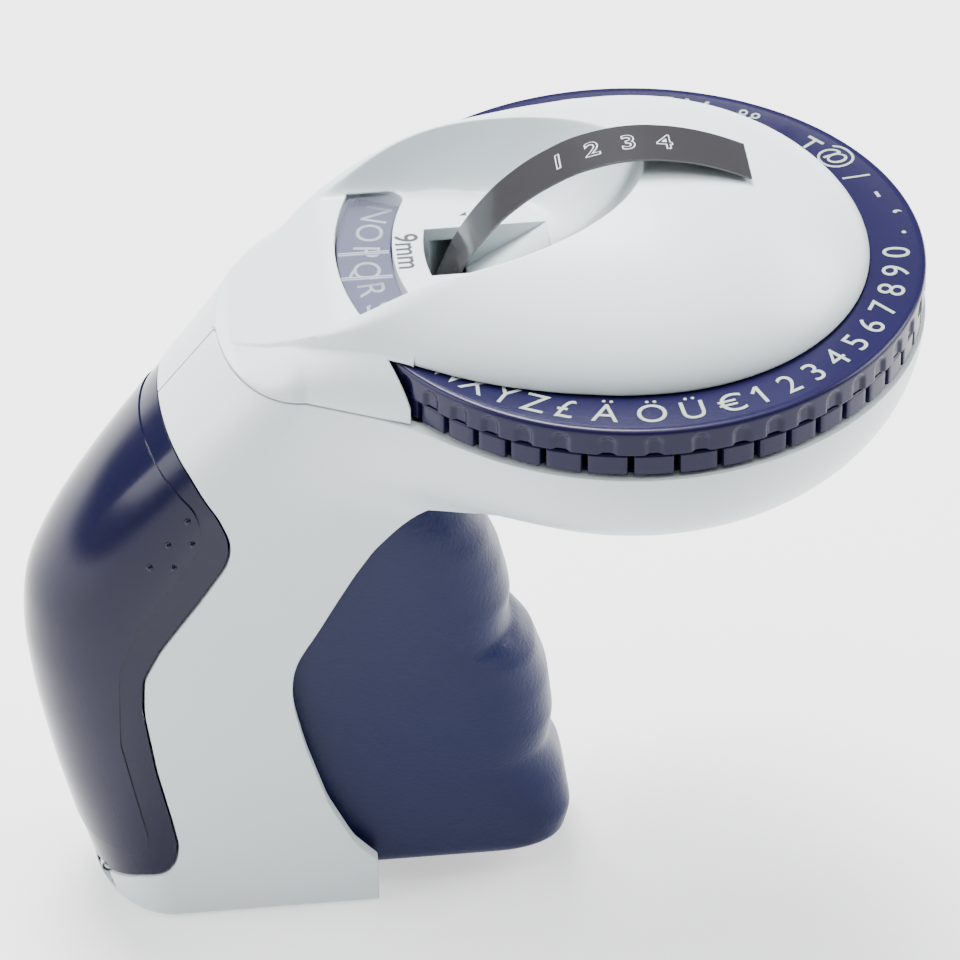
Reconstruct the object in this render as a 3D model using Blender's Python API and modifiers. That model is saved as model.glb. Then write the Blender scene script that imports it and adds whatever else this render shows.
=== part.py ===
# Embossing label maker: a hand-held casing with a character wheel on top,
# a squeeze trigger, a hinged rear cover over the tape roll and the embossing mechanism.
# Metres, +Z up, +X towards the wheel, standing on z = 0 with the origin under its middle.
import math

import bmesh
import bpy
from mathutils import Matrix, Vector

for old_object in list(bpy.data.objects):
    bpy.data.objects.remove(old_object, do_unlink=True)

# Overall frame
seam_z = 0.1045  # joint between casing and top cover, and the pan's rim
ring_rear_x = -0.0196  # rear-most point of the character ring, over the platen
back_belly = 0.0322  # how far the handle's back reaches behind the neck's back
wall = 0.0022  # moulded wall of casing and covers
gap = 0.0003  # fitting gap between touching pieces
overrun = 0.012  # how far cutters run past what they cut

# Handle
base_half_width = 0.0162
neck_half_width = 0.0205
back_round = 0.012  # how far forward the rounded back reaches its full width
back_bulge = 0.005  # extra reach of that rounding at mid height
neck_flare = 0.0113  # widening of the neck up to the casing front
casing_front_reach = 0.0078  # casing front ahead of the trigger's pivot
neck_back_room = 0.0058  # neck's back behind the mechanism frame
base_edge_round = 0.0012
floor_thickness = 0.0022
back_steps = 10
flare_start_share = 0.765  # height share where the neck starts to widen forwards

# Pan under the wheel
pan_overhang = 0.0002  # pan beyond the ring's edge
pan_corner_radius = 0.022
pan_corner_steps = 7
pan_steps = 44

# Character wheel
ring_outer_radius = 0.0446
ring_face_width = 0.0111
letter_inset = 0.0046  # middle of the letters inside the ring's edge
letter_ring_height = 0.0043
die_ring_height = 0.0036
die_setback = 0.0003  # dies inside the ring's edge
die_slot_width = 0.0009
die_slot_depth = 0.0075
scallop_depth = 0.0005
first_cell_degrees = 68.6
blade_cell = 47
index_notch_length = 0.0020
index_notch_degrees = 46.0
wheel_clearance = 0.0007  # round the ring, inside and outside
wheel_head_room = 0.0005
bore_steps = 44

# Top cover
printed_band = 0.0086  # printed face that shows round the dome
dome_rise = 0.017
dome_power = 0.667
crest_limit_share = 0.237  # share of the neck's reach behind which the ridge limits the dome
neck_front_share = 0.572  # share of the neck's reach where the neck ends
dish_floor_rise = 0.0027  # dish floor above the printed face
dish_half_width = 0.0188
dish_length = 0.031
dish_offset = 0.0100  # dish's middle ahead of the platen
dish_depth = 0.0135
dish_side_share = 0.78  # floor width as a share of the dish's width
dish_front_share = 0.50
dish_steps = 18
boss_wall = 0.0022
window_rim = 0.0001  # window inside the ring's edge
window_width = 0.0081
window_half_degrees = 22.0
window_thickness = 0.0012
sector_steps = 10
slot_offset = 0.0092  # slot's back ahead of the platen
slot_length = 0.0185
slot_side_room = 0.0014
ramp_offset = 0.0063  # ramp's foot ahead of the slot's back
ramp_drop = 0.0048  # ramp's foot below the printed face
ramp_thickness = 0.0018

# Screws that hold the top cover down on the pan
post_radius = 0.0032
post_drop = 0.0095  # where the cover's posts stand on the pan's bosses, below the seam
screw_radius = 0.00125
screw_head_radius = 0.0023
screw_head_height = 0.0018
screw_sink = 0.0005  # how deep the heads lie below the surface
screw_tip_drop = 0.0015  # screws' tips below the seam
screw_steps = 10
front_post_reach = 0.014  # ahead of the wheel's axis
front_post_y = 0.017
rear_post_reach = 0.008  # behind the wheel's axis
rear_post_y = 0.0215
pan_boss_radius = 0.0037

# Rear cover and its hinge
hinge_setback = 0.00275  # hinge pin in front of the handle's back
hinge_z = 0.0052
hinge_pin_radius = 0.0008
hinge_barrel_radius = 0.0017
hinge_barrel_half_length = 0.0060
hinge_ear_thickness = 0.0022
hinge_ear_radius = 0.0013
hinge_swing_radius = 0.0032
hinge_swing_half_width = 0.0102
cover_gap = 0.0004

# Trigger
pivot_reach = 0.0052  # trigger's pivot ahead of the platen
pivot_drop = 0.0145  # trigger's pivot below the seam
pivot_pin_radius = 0.0015
pivot_pin_hold = 0.0031  # how far the pin runs into the casing's bosses
pivot_barrel_radius = 0.0034
trigger_half_width = 0.0125
trigger_wall = 0.0018
grip_tuck = 0.0040  # how far the grip reaches behind the opening's edge
grip_corner = 0.0070
grip_corner_width = 0.0050
grip_corner_steps = 4
core_side_room = 0.0006
core_thickness = 0.0065
core_bottom_z = 0.0250
core_top_drop = 0.0255
core_steps = 12
nose_radius = 0.0020
finger_thickness = 0.0005
finger_width = 0.0010
finger_reach = 0.0028  # finger's tip ahead of the feed axle
finger_drop = 0.0036  # finger's tip below the feed axle

# Mechanism frame inside the neck
frame_plate_drop = 0.0048  # below the seam
frame_plate_thickness = 0.0015
frame_tail = 0.0065  # frame's back behind the feed axle
frame_nose = 0.0043  # frame's front ahead of the pivot
cheek_side_room = 0.0012
cheek_thickness = 0.0016
cheek_drop = 0.0185  # cheeks' lower edge below the seam
cheek_rise = 0.0047  # cheeks' top above the seam
cheek_ear_tail = 0.0023  # cheeks' ears behind the feed axle
cheek_ear_nose = 0.0034  # cheeks' ears ahead of the feed axle
plate_slot_room = 0.0015
plate_slot_side_room = 0.0004
platen_drop = 0.0110  # platen's lower end below the seam
platen_stem_radius = 0.0023
platen_flange_radius = 0.0042
platen_flange_thickness = 0.0010
platen_head_length = 0.0064
platen_head_width = 0.0096
platen_head_thickness = 0.0009
spring_wire_radius = 0.00035
spring_radius = 0.0033
spring_turns = 3.5
spring_points_per_turn = 9

# Tape, its roll and the rollers that feed it
tape_width = 0.0090
tape_thickness = 0.00035
tape_die_room = 0.0008  # middle of the tape below the dies
feed_spacing = 0.0110  # feed axle behind the platen
feed_roller_radius = 0.0040
roller_inset = 0.0001  # roller's ends inside the tape's edges
pressure_roller_radius = 0.0024
axle_radius = 0.0010
axle_steps = 14
ratchet_radius = 0.0036
ratchet_tooth_depth = 0.0007
ratchet_thickness = 0.0012
ratchet_side_room = 0.0006
ratchet_teeth = 16
roll_room = 0.0015  # roll in front of the rear cover's wall
roll_height_share = 0.4976  # roll's middle as a share of the seam's height
roll_radius = 0.0168
roll_bore_radius = 0.0080
roll_exit_degrees = 141.1  # where the tape leaves the roll
tape_lift = 0.0012  # tape's middle off the roll where it leaves
core_wall = 0.0012
cradle_half_width = 0.0062
cradle_disc_radius = 0.0110
cradle_trunnion_radius = 0.0030

# Wheel bed, the plate that carries the wheel over the pan
bed_thickness = 0.0014
bed_rim_room = 0.0005
bed_post_room = 0.0006
bed_cheek_room = 0.0008

# Cutter blade among the dies
blade_thickness = 0.0006
blade_length = 0.0052

# Casing screws that join the two halves
case_screw_shares = ((-0.617, 0.063), (-0.383, 0.7464))  # shares of the back's reach and of the seam height
case_boss_radius = 0.0034
case_screw_tip_y = -0.0080

# Spine of the handle: share of the seam height, share of the back's belly
spine_shares = (
    (0.000, 0.702), (0.115, 0.805), (0.239, 0.895), (0.364, 0.963), (0.478, 1.000),
    (0.574, 0.978), (0.670, 0.823), (0.766, 0.613), (0.890, 0.287), (1.000, 0.000),
)
# Half width of the handle: share of the seam height, share between base and neck half width
width_shares = ((0.0, 0.0), (0.3, 0.1), (0.58, 0.23), (0.77, 0.48), (0.89, 0.78), (1.0, 1.0))
# Bulge of the rounded back: share of the seam height, share of the back bulge
bulge_shares = ((0.0, 0.0), (0.3, 0.8), (0.58, 1.0), (0.77, 0.8), (0.89, 0.4), (1.0, 0.0))
ring_level_shares = (0.05, 0.115, 0.18, 0.26, 0.364, 0.478, 0.574, 0.62, 0.67, 0.766, 0.83, 0.89, 0.95)

# Outline of the rear cover seen from the side, from its top at the spine to the hinge:
# shares of the back's reach and of the seam height
cover_outline_shares = (
    (-0.674, 0.890), (-0.618, 0.850), (-0.569, 0.791), (-0.546, 0.745), (-0.542, 0.718),
    (-0.551, 0.690), (-0.617, 0.619), (-0.703, 0.533), (-0.743, 0.478), (-0.748, 0.414),
    (-0.726, 0.298), (-0.699, 0.200), (-0.687, 0.146), (-0.695, 0.112), (-0.716, 0.091),
    (-0.774, 0.081), (-0.832, 0.060), (-0.878, 0.042), (-1.2, 0.042), (-1.2, 0.97),
)
# Edge of the trigger opening seen from the side, from the foot to the pan
opening_edge_shares = (
    (-0.241, 0.084), (-0.294, 0.125), (-0.350, 0.211), (-0.394, 0.319), (-0.418, 0.406),
    (-0.409, 0.456), (-0.372, 0.503), (-0.302, 0.584), (-0.194, 0.688), (-0.132, 0.737),
    (-0.078, 0.772), (-0.021, 0.786),
)
# Front of the trigger grip: share of the seam height, share of the back's reach
grip_front_shares = (
    (0.044, 0.150), (0.060, 0.195), (0.100, 0.213), (0.155, 0.198), (0.212, 0.168), (0.262, 0.179),
    (0.330, 0.168), (0.390, 0.140), (0.440, 0.080), (0.500, 0.085), (0.560, 0.065), (0.610, 0.035),
    (0.660, -0.010), (0.710, -0.065), (0.756, -0.125),
)
# Ridge of the top cover behind the dome, back to front: share of the neck's reach behind the
# wheel axis, share of the dome's rise above the printed ring
crest_shares = (
    (1.003, -0.576), (0.900, -0.271), (0.790, 0.018), (0.703, 0.212), (0.580, 0.506),
    (0.508, 0.647), (0.420, 0.788), (0.343, 0.876), (0.235, 0.965), (0.110, 1.02),
)
# Half width of the dome's edge behind the axis: share of the neck's reach, share of the dome radius
edge_shares = (
    (0.0, 1.0), (0.085, 0.997), (0.224, 0.950), (0.362, 0.875), (0.453, 0.800), (0.544, 0.706),
    (0.607, 0.636), (0.711, 0.539), (0.790, 0.446), (0.900, 0.280), (1.003, 0.010),
)
# How full the neck's sides are along it: share of the neck's reach behind the axis, power
neck_power_shares = ((0.586, 2.75), (0.711, 4.0))
# Sections of the cover behind the wheel's axis, as shares of the neck's reach
neck_station_shares = (
    0.999, 0.978, 0.944, 0.900, 0.842, 0.790, 0.745, 0.703, 0.654, 0.607, 0.5745, 0.563,
    0.489, 0.4095, 0.3185, 0.222, 0.108,
)
# Sections ahead of the wheel's axis, as shares of the dome radius
dome_station_shares = (0.0, 0.17, 0.34, 0.50, 0.65, 0.79, 0.90, 0.965, 0.992)
section_shares = (1.0, 0.975, 0.92, 0.83, 0.70, 0.52, 0.28, 0.0)
dish_level_shares = (0.0, 0.05, 0.18, 0.4, 0.7, 1.0, 1.2)
# Path of the tape under the dies and up the slot, from the point under the dies: shares of the
# tape's rise from there to the dish's floor
tape_feed_shares = (
    (-1.496, -0.2735), (-1.376, -0.159), (-1.231, -0.072), (-1.0735, -0.017), (-0.906, 0.0),
    (0.410, 0.0), (0.547, 0.017), (0.684, 0.065), (0.8205, 0.174), (0.896, 0.284),
    (0.940, 0.3965), (1.043, 0.6667), (1.186, 0.9845),
)
# Path of the tape over the dome, from its top: shares of the dome's radius and of its rise
tape_arch_shares = (
    (-0.653, -0.629), (-0.550, -0.359), (-0.417, -0.1235), (-0.250, 0.072), (-0.083, 0.159),
    (0.056, 0.171), (0.222, 0.112), (0.361, 0.013), (0.486, -0.1165),
)
# Cells of the character wheel: how many steps of how many degrees, anticlockwise from the first
cell_steps = (
    (25, 6.95), (1, 7.3), (3, 8.85), (1, 8.0), (11, 6.93), (3, 7.3), (1, 8.2), (1, 8.0), (1, 17.3),
)

# Sizes and places of the wheel that follow from the ones above
wheel_x = ring_rear_x + ring_outer_radius
ring_inner_radius = ring_outer_radius - ring_face_width
letter_radius = ring_outer_radius - letter_inset
die_outer_radius = ring_outer_radius - die_setback
pan_radius = ring_outer_radius + pan_overhang
dome_radius = ring_outer_radius - printed_band
wheel_cavity_radius = ring_outer_radius + wheel_clearance
boss_outer_radius = ring_inner_radius - wheel_clearance
window_outer_radius = ring_outer_radius - window_rim
window_inner_radius = window_outer_radius - window_width
casing_top = seam_z - gap
die_bottom_z = seam_z + gap
die_top_z = die_bottom_z + die_ring_height
ring_top_z = die_top_z + gap + letter_ring_height
wheel_cavity_top_z = ring_top_z + wheel_head_room
dome_edge_z = wheel_cavity_top_z
dish_floor_z = ring_top_z + dish_floor_rise
pan_bottom_z = seam_z - pan_corner_radius

# Places of the mechanism, from the platen under the letters outwards
platen_x = wheel_x - letter_radius
feed_x = platen_x - feed_spacing
pivot_x = platen_x + pivot_reach
pivot_z = seam_z - pivot_drop
casing_front_x = pivot_x + casing_front_reach
frame_back_x = feed_x - frame_tail
frame_front_x = pivot_x + frame_nose
frame_plate_z = seam_z - frame_plate_drop
neck_back_x = frame_back_x - neck_back_room
neck_reach = wheel_x - neck_back_x
neck_front_x = wheel_x - neck_front_share * neck_reach
back_reach = back_belly - neck_back_x
dish_centre_x = platen_x + dish_offset
slot_back_x = platen_x + slot_offset
slot_front_x = slot_back_x + slot_length
slot_half_width = tape_width / 2 + slot_side_room
ramp_foot_x = slot_back_x + ramp_offset
ramp_foot_z = ring_top_z - ramp_drop
tape_z = die_bottom_z - tape_die_room
feed_z = tape_z - tape_thickness / 2 - gap - feed_roller_radius
pressure_z = tape_z + tape_thickness / 2 + gap + pressure_roller_radius
feed_roller_half_width = tape_width / 2 - roller_inset
ratchet_y = feed_roller_half_width + ratchet_side_room + ratchet_thickness / 2
plate_slot_front_x = feed_x + feed_roller_radius + plate_slot_room
plate_slot_half_width = ratchet_y + ratchet_thickness / 2 + plate_slot_side_room
cheek_inner_y = plate_slot_half_width + cheek_side_room
cheek_outer_y = cheek_inner_y + cheek_thickness
cheek_bottom_z = seam_z - cheek_drop
cheek_top_z = seam_z + cheek_rise
cheek_ear_back_x = feed_x - cheek_ear_tail
cheek_ear_front_x = feed_x + cheek_ear_nose
platen_bottom_z = seam_z - platen_drop
nose_z = platen_bottom_z - gap - nose_radius
core_half_width = cheek_inner_y - core_side_room
core_top_z = seam_z - core_top_drop
pivot_pin_half_length = cheek_outer_y + pivot_pin_hold
finger_tip_x = feed_x + finger_reach
finger_tip_z = feed_z - finger_drop
roll_x = roll_radius + roll_room + wall - back_reach
roll_z = seam_z * roll_height_share

# Bores, and the places of screws and posts
pin_bore_radius = pivot_pin_radius + gap
hinge_bore_radius = hinge_pin_radius + gap
axle_bore_radius = axle_radius + gap
post_bore_radius = screw_radius + gap
head_bore_radius = screw_head_radius + gap
hinge_ear_low = hinge_barrel_half_length + gap
hinge_ear_high = hinge_ear_low + hinge_ear_thickness
post_meet_z = seam_z - post_drop
screw_tip_z = seam_z - screw_tip_drop
case_screw_places = [(across * back_reach, up * seam_z) for across, up in case_screw_shares]
post_places = (
    (wheel_x + front_post_reach, front_post_y), (wheel_x + front_post_reach, -front_post_y),
    (wheel_x - rear_post_reach, rear_post_y), (wheel_x - rear_post_reach, -rear_post_y),
)
bed_radius = pan_radius - wall - bed_rim_room
bed_window_radius = math.hypot(rear_post_reach, rear_post_y) + post_radius + bed_post_room
bed_slot_half_width = cheek_outer_y + bed_cheek_room
bed_slot_front_x = frame_front_x + bed_cheek_room

parts = bpy.data.collections.new("embossing_label_maker")
cutters = bpy.data.collections.new("cutters")
bpy.context.scene.collection.children.link(parts)
bpy.context.scene.collection.children.link(cutters)


def material(name, colour, roughness, metallic=0.0, alpha=1.0):
    """One Principled material."""
    made = bpy.data.materials.new(name)
    made.use_nodes = True
    shader = made.node_tree.nodes["Principled BSDF"]
    shader.inputs["Base Color"].default_value = (*colour, 1.0)
    shader.inputs["Roughness"].default_value = roughness
    shader.inputs["Metallic"].default_value = metallic
    shader.inputs["Alpha"].default_value = alpha
    return made


shell_grey = material("shell_grey", (0.66, 0.71, 0.73), 0.35)
wheel_navy = material("wheel_navy", (0.07, 0.065, 0.21), 0.3)
cover_navy = material("cover_navy", (0.03, 0.03, 0.09), 0.15)
grip_navy = material("grip_navy", (0.045, 0.055, 0.16), 0.6)
clear_smoke = material("clear_smoke", (0.75, 0.78, 0.85), 0.05, alpha=0.35)
tape_dark = material("tape_dark", (0.07, 0.06, 0.065), 0.2)
mechanism_grey = material("mechanism_grey", (0.2, 0.2, 0.21), 0.5)
steel = material("steel", (0.55, 0.55, 0.56), 0.3, metallic=1.0)
rubber = material("rubber", (0.03, 0.03, 0.03), 0.8)
card = material("card", (0.75, 0.72, 0.65), 0.9)


def between(table, at):
    """Straight-line value of a two-column table, flat past its ends."""
    if at <= table[0][0]:
        return table[0][1]
    for (low, low_value), (high, high_value) in zip(table, table[1:]):
        if at <= high:
            return low_value + (high_value - low_value) * (at - low) / (high - low)
    return table[-1][1]


def smooth_share(value):
    """Share that eases in and out from 0 to 1."""
    held = min(max(value, 0.0), 1.0)
    return held * held * (3.0 - 2.0 * held)


def span(low, high):
    """Middle and length of a stretch."""
    return (low + high) / 2, high - low


def add_object(name, mesh, finish=None, guide=False):
    """Object of the label maker, or a guide that only cuts or joins."""
    made = bpy.data.objects.new(name, mesh)
    (cutters if guide else parts).objects.link(made)
    if guide:
        made.hide_render = True
        made.display_type = "WIRE"
    if finish is not None:
        made.data.materials.clear()
        made.data.materials.append(finish)
    return made


def settle(source, name, finish=None, guide=False):
    """New object from another one as its modifiers leave it; the source is removed."""
    bpy.context.view_layer.update()
    graph = bpy.context.evaluated_depsgraph_get()
    mesh = bpy.data.meshes.new_from_object(source.evaluated_get(graph))
    mesh.transform(source.matrix_world)
    work = bmesh.new()
    work.from_mesh(mesh)
    bmesh.ops.remove_doubles(work, verts=work.verts, dist=gap / 100)
    bmesh.ops.dissolve_degenerate(work, edges=work.edges, dist=gap / 100)
    bmesh.ops.recalc_face_normals(work, faces=work.faces)
    work.to_mesh(mesh)
    work.free()
    bpy.data.objects.remove(source, do_unlink=True)
    return add_object(name, mesh, finish, guide)


def join_shape(target, tool, operation):
    """Boolean of one object with another, kept as a modifier."""
    step = target.modifiers.new(tool.name, "BOOLEAN")
    step.operation = operation
    step.solver = "EXACT"
    step.object = tool
    return target


def cut(target, *tools):
    """Target less every tool."""
    for tool in tools:
        join_shape(target, tool, "DIFFERENCE")
    return target


def unite(target, *tools):
    """Target joined with every tool."""
    for tool in tools:
        join_shape(target, tool, "UNION")
    return target


def loft(name, rings, finish=None, guide=True):
    """Closed skin over rings of equal count, capped at both ends, its sides in triangles."""
    work = bmesh.new()
    rows = [[work.verts.new(point) for point in ring] for ring in rings]
    for lower, upper in zip(rows, rows[1:]):
        for index in range(len(lower)):
            after = (index + 1) % len(lower)
            work.faces.new((lower[index], lower[after], upper[after], upper[index]))
    bmesh.ops.triangulate(work, faces=work.faces[:])
    work.faces.new(reversed(rows[0]))
    work.faces.new(rows[-1])
    bmesh.ops.recalc_face_normals(work, faces=work.faces)
    mesh = bpy.data.meshes.new(name)
    work.to_mesh(mesh)
    work.free()
    return add_object(name, mesh, finish, guide)


def block(name, low, high, finish=None, guide=True):
    """Box between two corners."""
    work = bmesh.new()
    bmesh.ops.create_cube(work, size=1.0)
    size = [top - bottom for bottom, top in zip(low, high)]
    middle = [(top + bottom) / 2 for bottom, top in zip(low, high)]
    place = Matrix.Translation(middle) @ Matrix.Diagonal((*size, 1.0))
    bmesh.ops.transform(work, matrix=place, verts=work.verts)
    mesh = bpy.data.meshes.new(name)
    work.to_mesh(mesh)
    work.free()
    return add_object(name, mesh, finish, guide)


def rod(name, centre, radius, length, axis="Z", sides=16, finish=None, guide=True):
    """Cylinder about a world axis, centred on a point."""
    work = bmesh.new()
    bmesh.ops.create_cone(
        work, cap_ends=True, segments=sides, radius1=radius, radius2=radius, depth=length
    )
    turn = Matrix.Rotation(-math.pi / 2, 4, "X") if axis == "Y" else Matrix.Identity(4)
    bmesh.ops.transform(work, matrix=Matrix.Translation(centre) @ turn, verts=work.verts)
    mesh = bpy.data.meshes.new(name)
    work.to_mesh(mesh)
    work.free()
    return add_object(name, mesh, finish, guide)


def turned(name, profile, centre, steps=48, axis="Z", finish=None, guide=True):
    """Profile of (radius, height) pairs turned about an axis; it runs down its outer side."""
    mesh = bpy.data.meshes.new(name)
    count = len(profile)
    edges = [(index, index + 1) for index in range(count - 1)]
    if profile[0][0] > 0.0:
        edges.append((count - 1, 0))
    mesh.from_pydata([(radius, 0.0, height) for radius, height in profile], edges, [])
    made = add_object(name, mesh, None, True)
    screw = made.modifiers.new("turn", "SCREW")
    screw.steps = steps
    screw.render_steps = steps
    screw.use_merge_vertices = True
    screw.merge_threshold = gap / 30
    if axis == "Y":
        made.rotation_euler = (-math.pi / 2, 0.0, 0.0)
    made.location = centre
    return settle(made, name, finish, guide)


def plate(name, outlines, half_thickness, plane="XZ", offset=0.0, finish=None, guide=True):
    """Flat outline, and outlines of its holes, given a thickness: XZ centred on y, XY on z."""
    curve = bpy.data.curves.new(name, "CURVE")
    curve.dimensions = "2D"
    curve.fill_mode = "BOTH"
    curve.extrude = half_thickness
    for outline in outlines:
        spline = curve.splines.new("POLY")
        spline.points.add(len(outline) - 1)
        for point, (across, up) in zip(spline.points, outline):
            point.co = (across, up, 0.0, 1.0)
        spline.use_cyclic_u = True
    made = add_object(name, curve, None, True)
    if plane == "XZ":
        made.rotation_euler = (math.pi / 2, 0.0, 0.0)
        made.location = (0.0, offset, 0.0)
    else:
        made.location = (0.0, 0.0, offset)
    return settle(made, name, finish, guide)


def tube(name, points, radius, resolution, finish=None, guide=False):
    """Round wire along a list of points, with closed ends."""
    curve = bpy.data.curves.new(name, "CURVE")
    curve.dimensions = "3D"
    curve.bevel_depth = radius
    curve.bevel_resolution = resolution
    curve.use_fill_caps = True
    spline = curve.splines.new("POLY")
    spline.points.add(len(points) - 1)
    for point, place in zip(spline.points, points):
        point.co = (*place, 1.0)
    return settle(add_object(name, curve, None, True), name, finish, guide)


def ellipse_point(angle, across, along):
    """Point of an ellipse at an angle."""
    return across * math.cos(angle), along * math.sin(angle)


def arc(centre, radius, start_degrees, end_degrees, steps):
    """Points along a circle in a plane."""
    found = []
    for index in range(steps + 1):
        angle = math.radians(start_degrees + (end_degrees - start_degrees) * index / steps)
        across, along = ellipse_point(angle, radius, radius)
        found.append((centre[0] + across, centre[1] + along))
    return found


def circle(centre, radius, steps):
    """Closed circle as a list of points."""
    return arc(centre, radius, 0.0, 360.0, steps)[:-1]


def offset_outline(outline, distance):
    """Closed outline, listed anticlockwise, moved inwards."""
    moved = []
    count = len(outline)
    for index in range(count):
        before = Vector(outline[index - 1])
        here = Vector(outline[index])
        after = Vector(outline[(index + 1) % count])
        first = (here - before).normalized()
        second = (after - here).normalized()
        across = Vector((-first.y - second.y, first.x + second.x)).normalized()
        share = max(across.dot(Vector((-first.y, first.x))), 0.5)
        moved.append(tuple(here + across * distance / share))
    return moved


# Casing: the two handle halves with the pan

def spine_x(height):
    """Rear-most point of the handle at a height."""
    return neck_back_x - back_belly * between(spine_shares, height / seam_z)


def handle_half_width(height):
    """Half width of the handle before the neck widens."""
    share = between(width_shares, height / seam_z)
    return base_half_width + (neck_half_width - base_half_width) * share


def handle_round(height):
    """Depth over which the rounded back reaches its full width."""
    return back_round + back_bulge * between(bulge_shares, height / seam_z)


def handle_flare(height):
    """Widening of the neck at the casing front."""
    share = (height / seam_z - flare_start_share) / (1.0 - flare_start_share)
    return neck_flare * smooth_share(share)


def plan_half_width(x, height):
    """Half width of the handle's plan section at a point of its length."""
    half = handle_half_width(height)
    depth = handle_round(height)
    middle = spine_x(height) + depth
    if x < middle:
        return half * math.sqrt(max(1.0 - ((middle - x) / depth) ** 2, 0.0))
    return half + handle_flare(height) * (x - middle) / (casing_front_x - middle)


hinge_x = spine_x(hinge_z) + hinge_setback  # the rear cover turns just inside the handle's back


def handle_ring(height, inset):
    """Plan section of the handle at one height: rounded back, straight sides, flat front."""
    back = spine_x(height) + inset
    half = handle_half_width(height) - inset
    depth = handle_round(height) - inset
    front = casing_front_x - inset
    front_half = plan_half_width(casing_front_x, height) - inset
    ring = [(front, front_half, height), (front, -front_half, height)]
    for index in range(back_steps + 1):
        angle = -math.pi / 2 + math.pi * index / back_steps
        reach, across = ellipse_point(angle, depth, half)
        ring.append((back + depth - reach, across, height))
    return ring


def handle_form(name, inset, low):
    """Handle as a closed form, its plan section kept above the seam."""
    high = seam_z + overrun + inset
    rings = []
    if inset == 0.0:
        rings.append([(x, y, low) for x, y, _ in handle_ring(low + base_edge_round, base_edge_round)])
        low += base_edge_round
    rings.append(handle_ring(low, inset))
    rings += [handle_ring(share * seam_z, inset) for share in ring_level_shares]
    rings.append(handle_ring(seam_z, inset))
    rings.append([(x, y, high) for x, y, _ in rings[-1]])
    return loft(name, rings)


def pan_form(name, inset):
    """Round pan with a quarter-circle corner, its rim carried on above the seam."""
    high = seam_z + overrun + inset
    corner = pan_corner_radius - inset
    inner = pan_radius - pan_corner_radius
    profile = [(0.0, high), (inner + corner, high)]
    profile += arc((inner, seam_z), corner, 0.0, -90.0, pan_corner_steps)
    profile.append((0.0, seam_z - corner))
    return turned(name, profile, (wheel_x, 0.0, 0.0), pan_steps)


def side_outline(shares):
    """Side-view outline from shares of the back's reach and the seam height."""
    return [(across * back_reach, up * seam_z) for across, up in shares]


def opening_outline():
    """Everything in front of the trigger opening's edge and above the foot."""
    edge = side_outline(opening_edge_shares)
    return [(edge[0][0], -overrun)] + edge + [(wheel_x, edge[-1][1]), (wheel_x, -overrun)]


def case_head_y(height):
    """Outer face of a casing screw's head, sunk into the left side."""
    return handle_half_width(height) - screw_sink * 2


def add_casing_bosses(casing):
    """Bosses for the screws and the trigger's pin, and the hinge's ears."""
    middle, length = span(pan_bottom_z + wall / 2, post_meet_z)
    for index, (x, y) in enumerate(post_places):
        unite(casing, rod(f"pan_boss_{index}", (x, y, middle), pan_boss_radius, length))
    for index, (x, z) in enumerate(case_screw_places):
        length = handle_half_width(z) * 2 - wall
        unite(casing, rod(f"case_boss_{index}", (x, 0.0, z), case_boss_radius, length, "Y"))
    for side in (-1.0, 1.0):
        middle, length = span(cheek_outer_y + gap, plan_half_width(pivot_x, pivot_z) - wall / 2)
        centre = (pivot_x, side * middle, pivot_z)
        unite(casing, rod(f"pivot_boss_{side}", centre, pivot_barrel_radius, length, "Y"))
        middle, length = span(hinge_ear_low, hinge_ear_high)
        centre = (hinge_x, side * middle, hinge_z)
        unite(casing, rod(f"hinge_ear_{side}", centre, hinge_ear_radius, length, "Y"))
        half = length * 0.45
        low = (hinge_x + hinge_ear_radius * 0.1, side * middle - half, floor_thickness / 2)
        high = (hinge_x + hinge_ear_radius, side * middle + half, hinge_z)
        unite(casing, block(f"hinge_foot_{side}", low, high))


def cut_casing_bores(casing):
    """Bores for the pins and the screws, with room for the screws' heads."""
    head_top = pan_bottom_z + screw_sink + screw_head_height + gap
    for index, (x, y) in enumerate(post_places):
        middle, length = span(pan_bottom_z - overrun, head_top)
        cut(casing, rod(f"head_bore_{index}", (x, y, middle), head_bore_radius, length))
        middle, length = span(head_top - gap, post_meet_z + gap)
        cut(casing, rod(f"screw_bore_{index}", (x, y, middle), post_bore_radius, length))
    length = (pivot_pin_half_length + gap) * 2
    cut(casing, rod("pivot_bore", (pivot_x, 0.0, pivot_z), pin_bore_radius, length, "Y"))
    length = (hinge_ear_high + gap) * 2
    cut(casing, rod("hinge_bore", (hinge_x, 0.0, hinge_z), hinge_bore_radius, length, "Y", axle_steps))
    for index, (x, z) in enumerate(case_screw_places):
        inner = case_head_y(z) - screw_head_height - gap
        middle, length = span(inner, inner + overrun)
        cut(casing, rod(f"case_head_bore_{index}", (x, middle, z), head_bore_radius, length, "Y"))
        middle, length = span(case_screw_tip_y - gap, inner + gap)
        cut(casing, rod(f"case_bore_{index}", (x, middle, z), post_bore_radius, length, "Y"))


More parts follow.
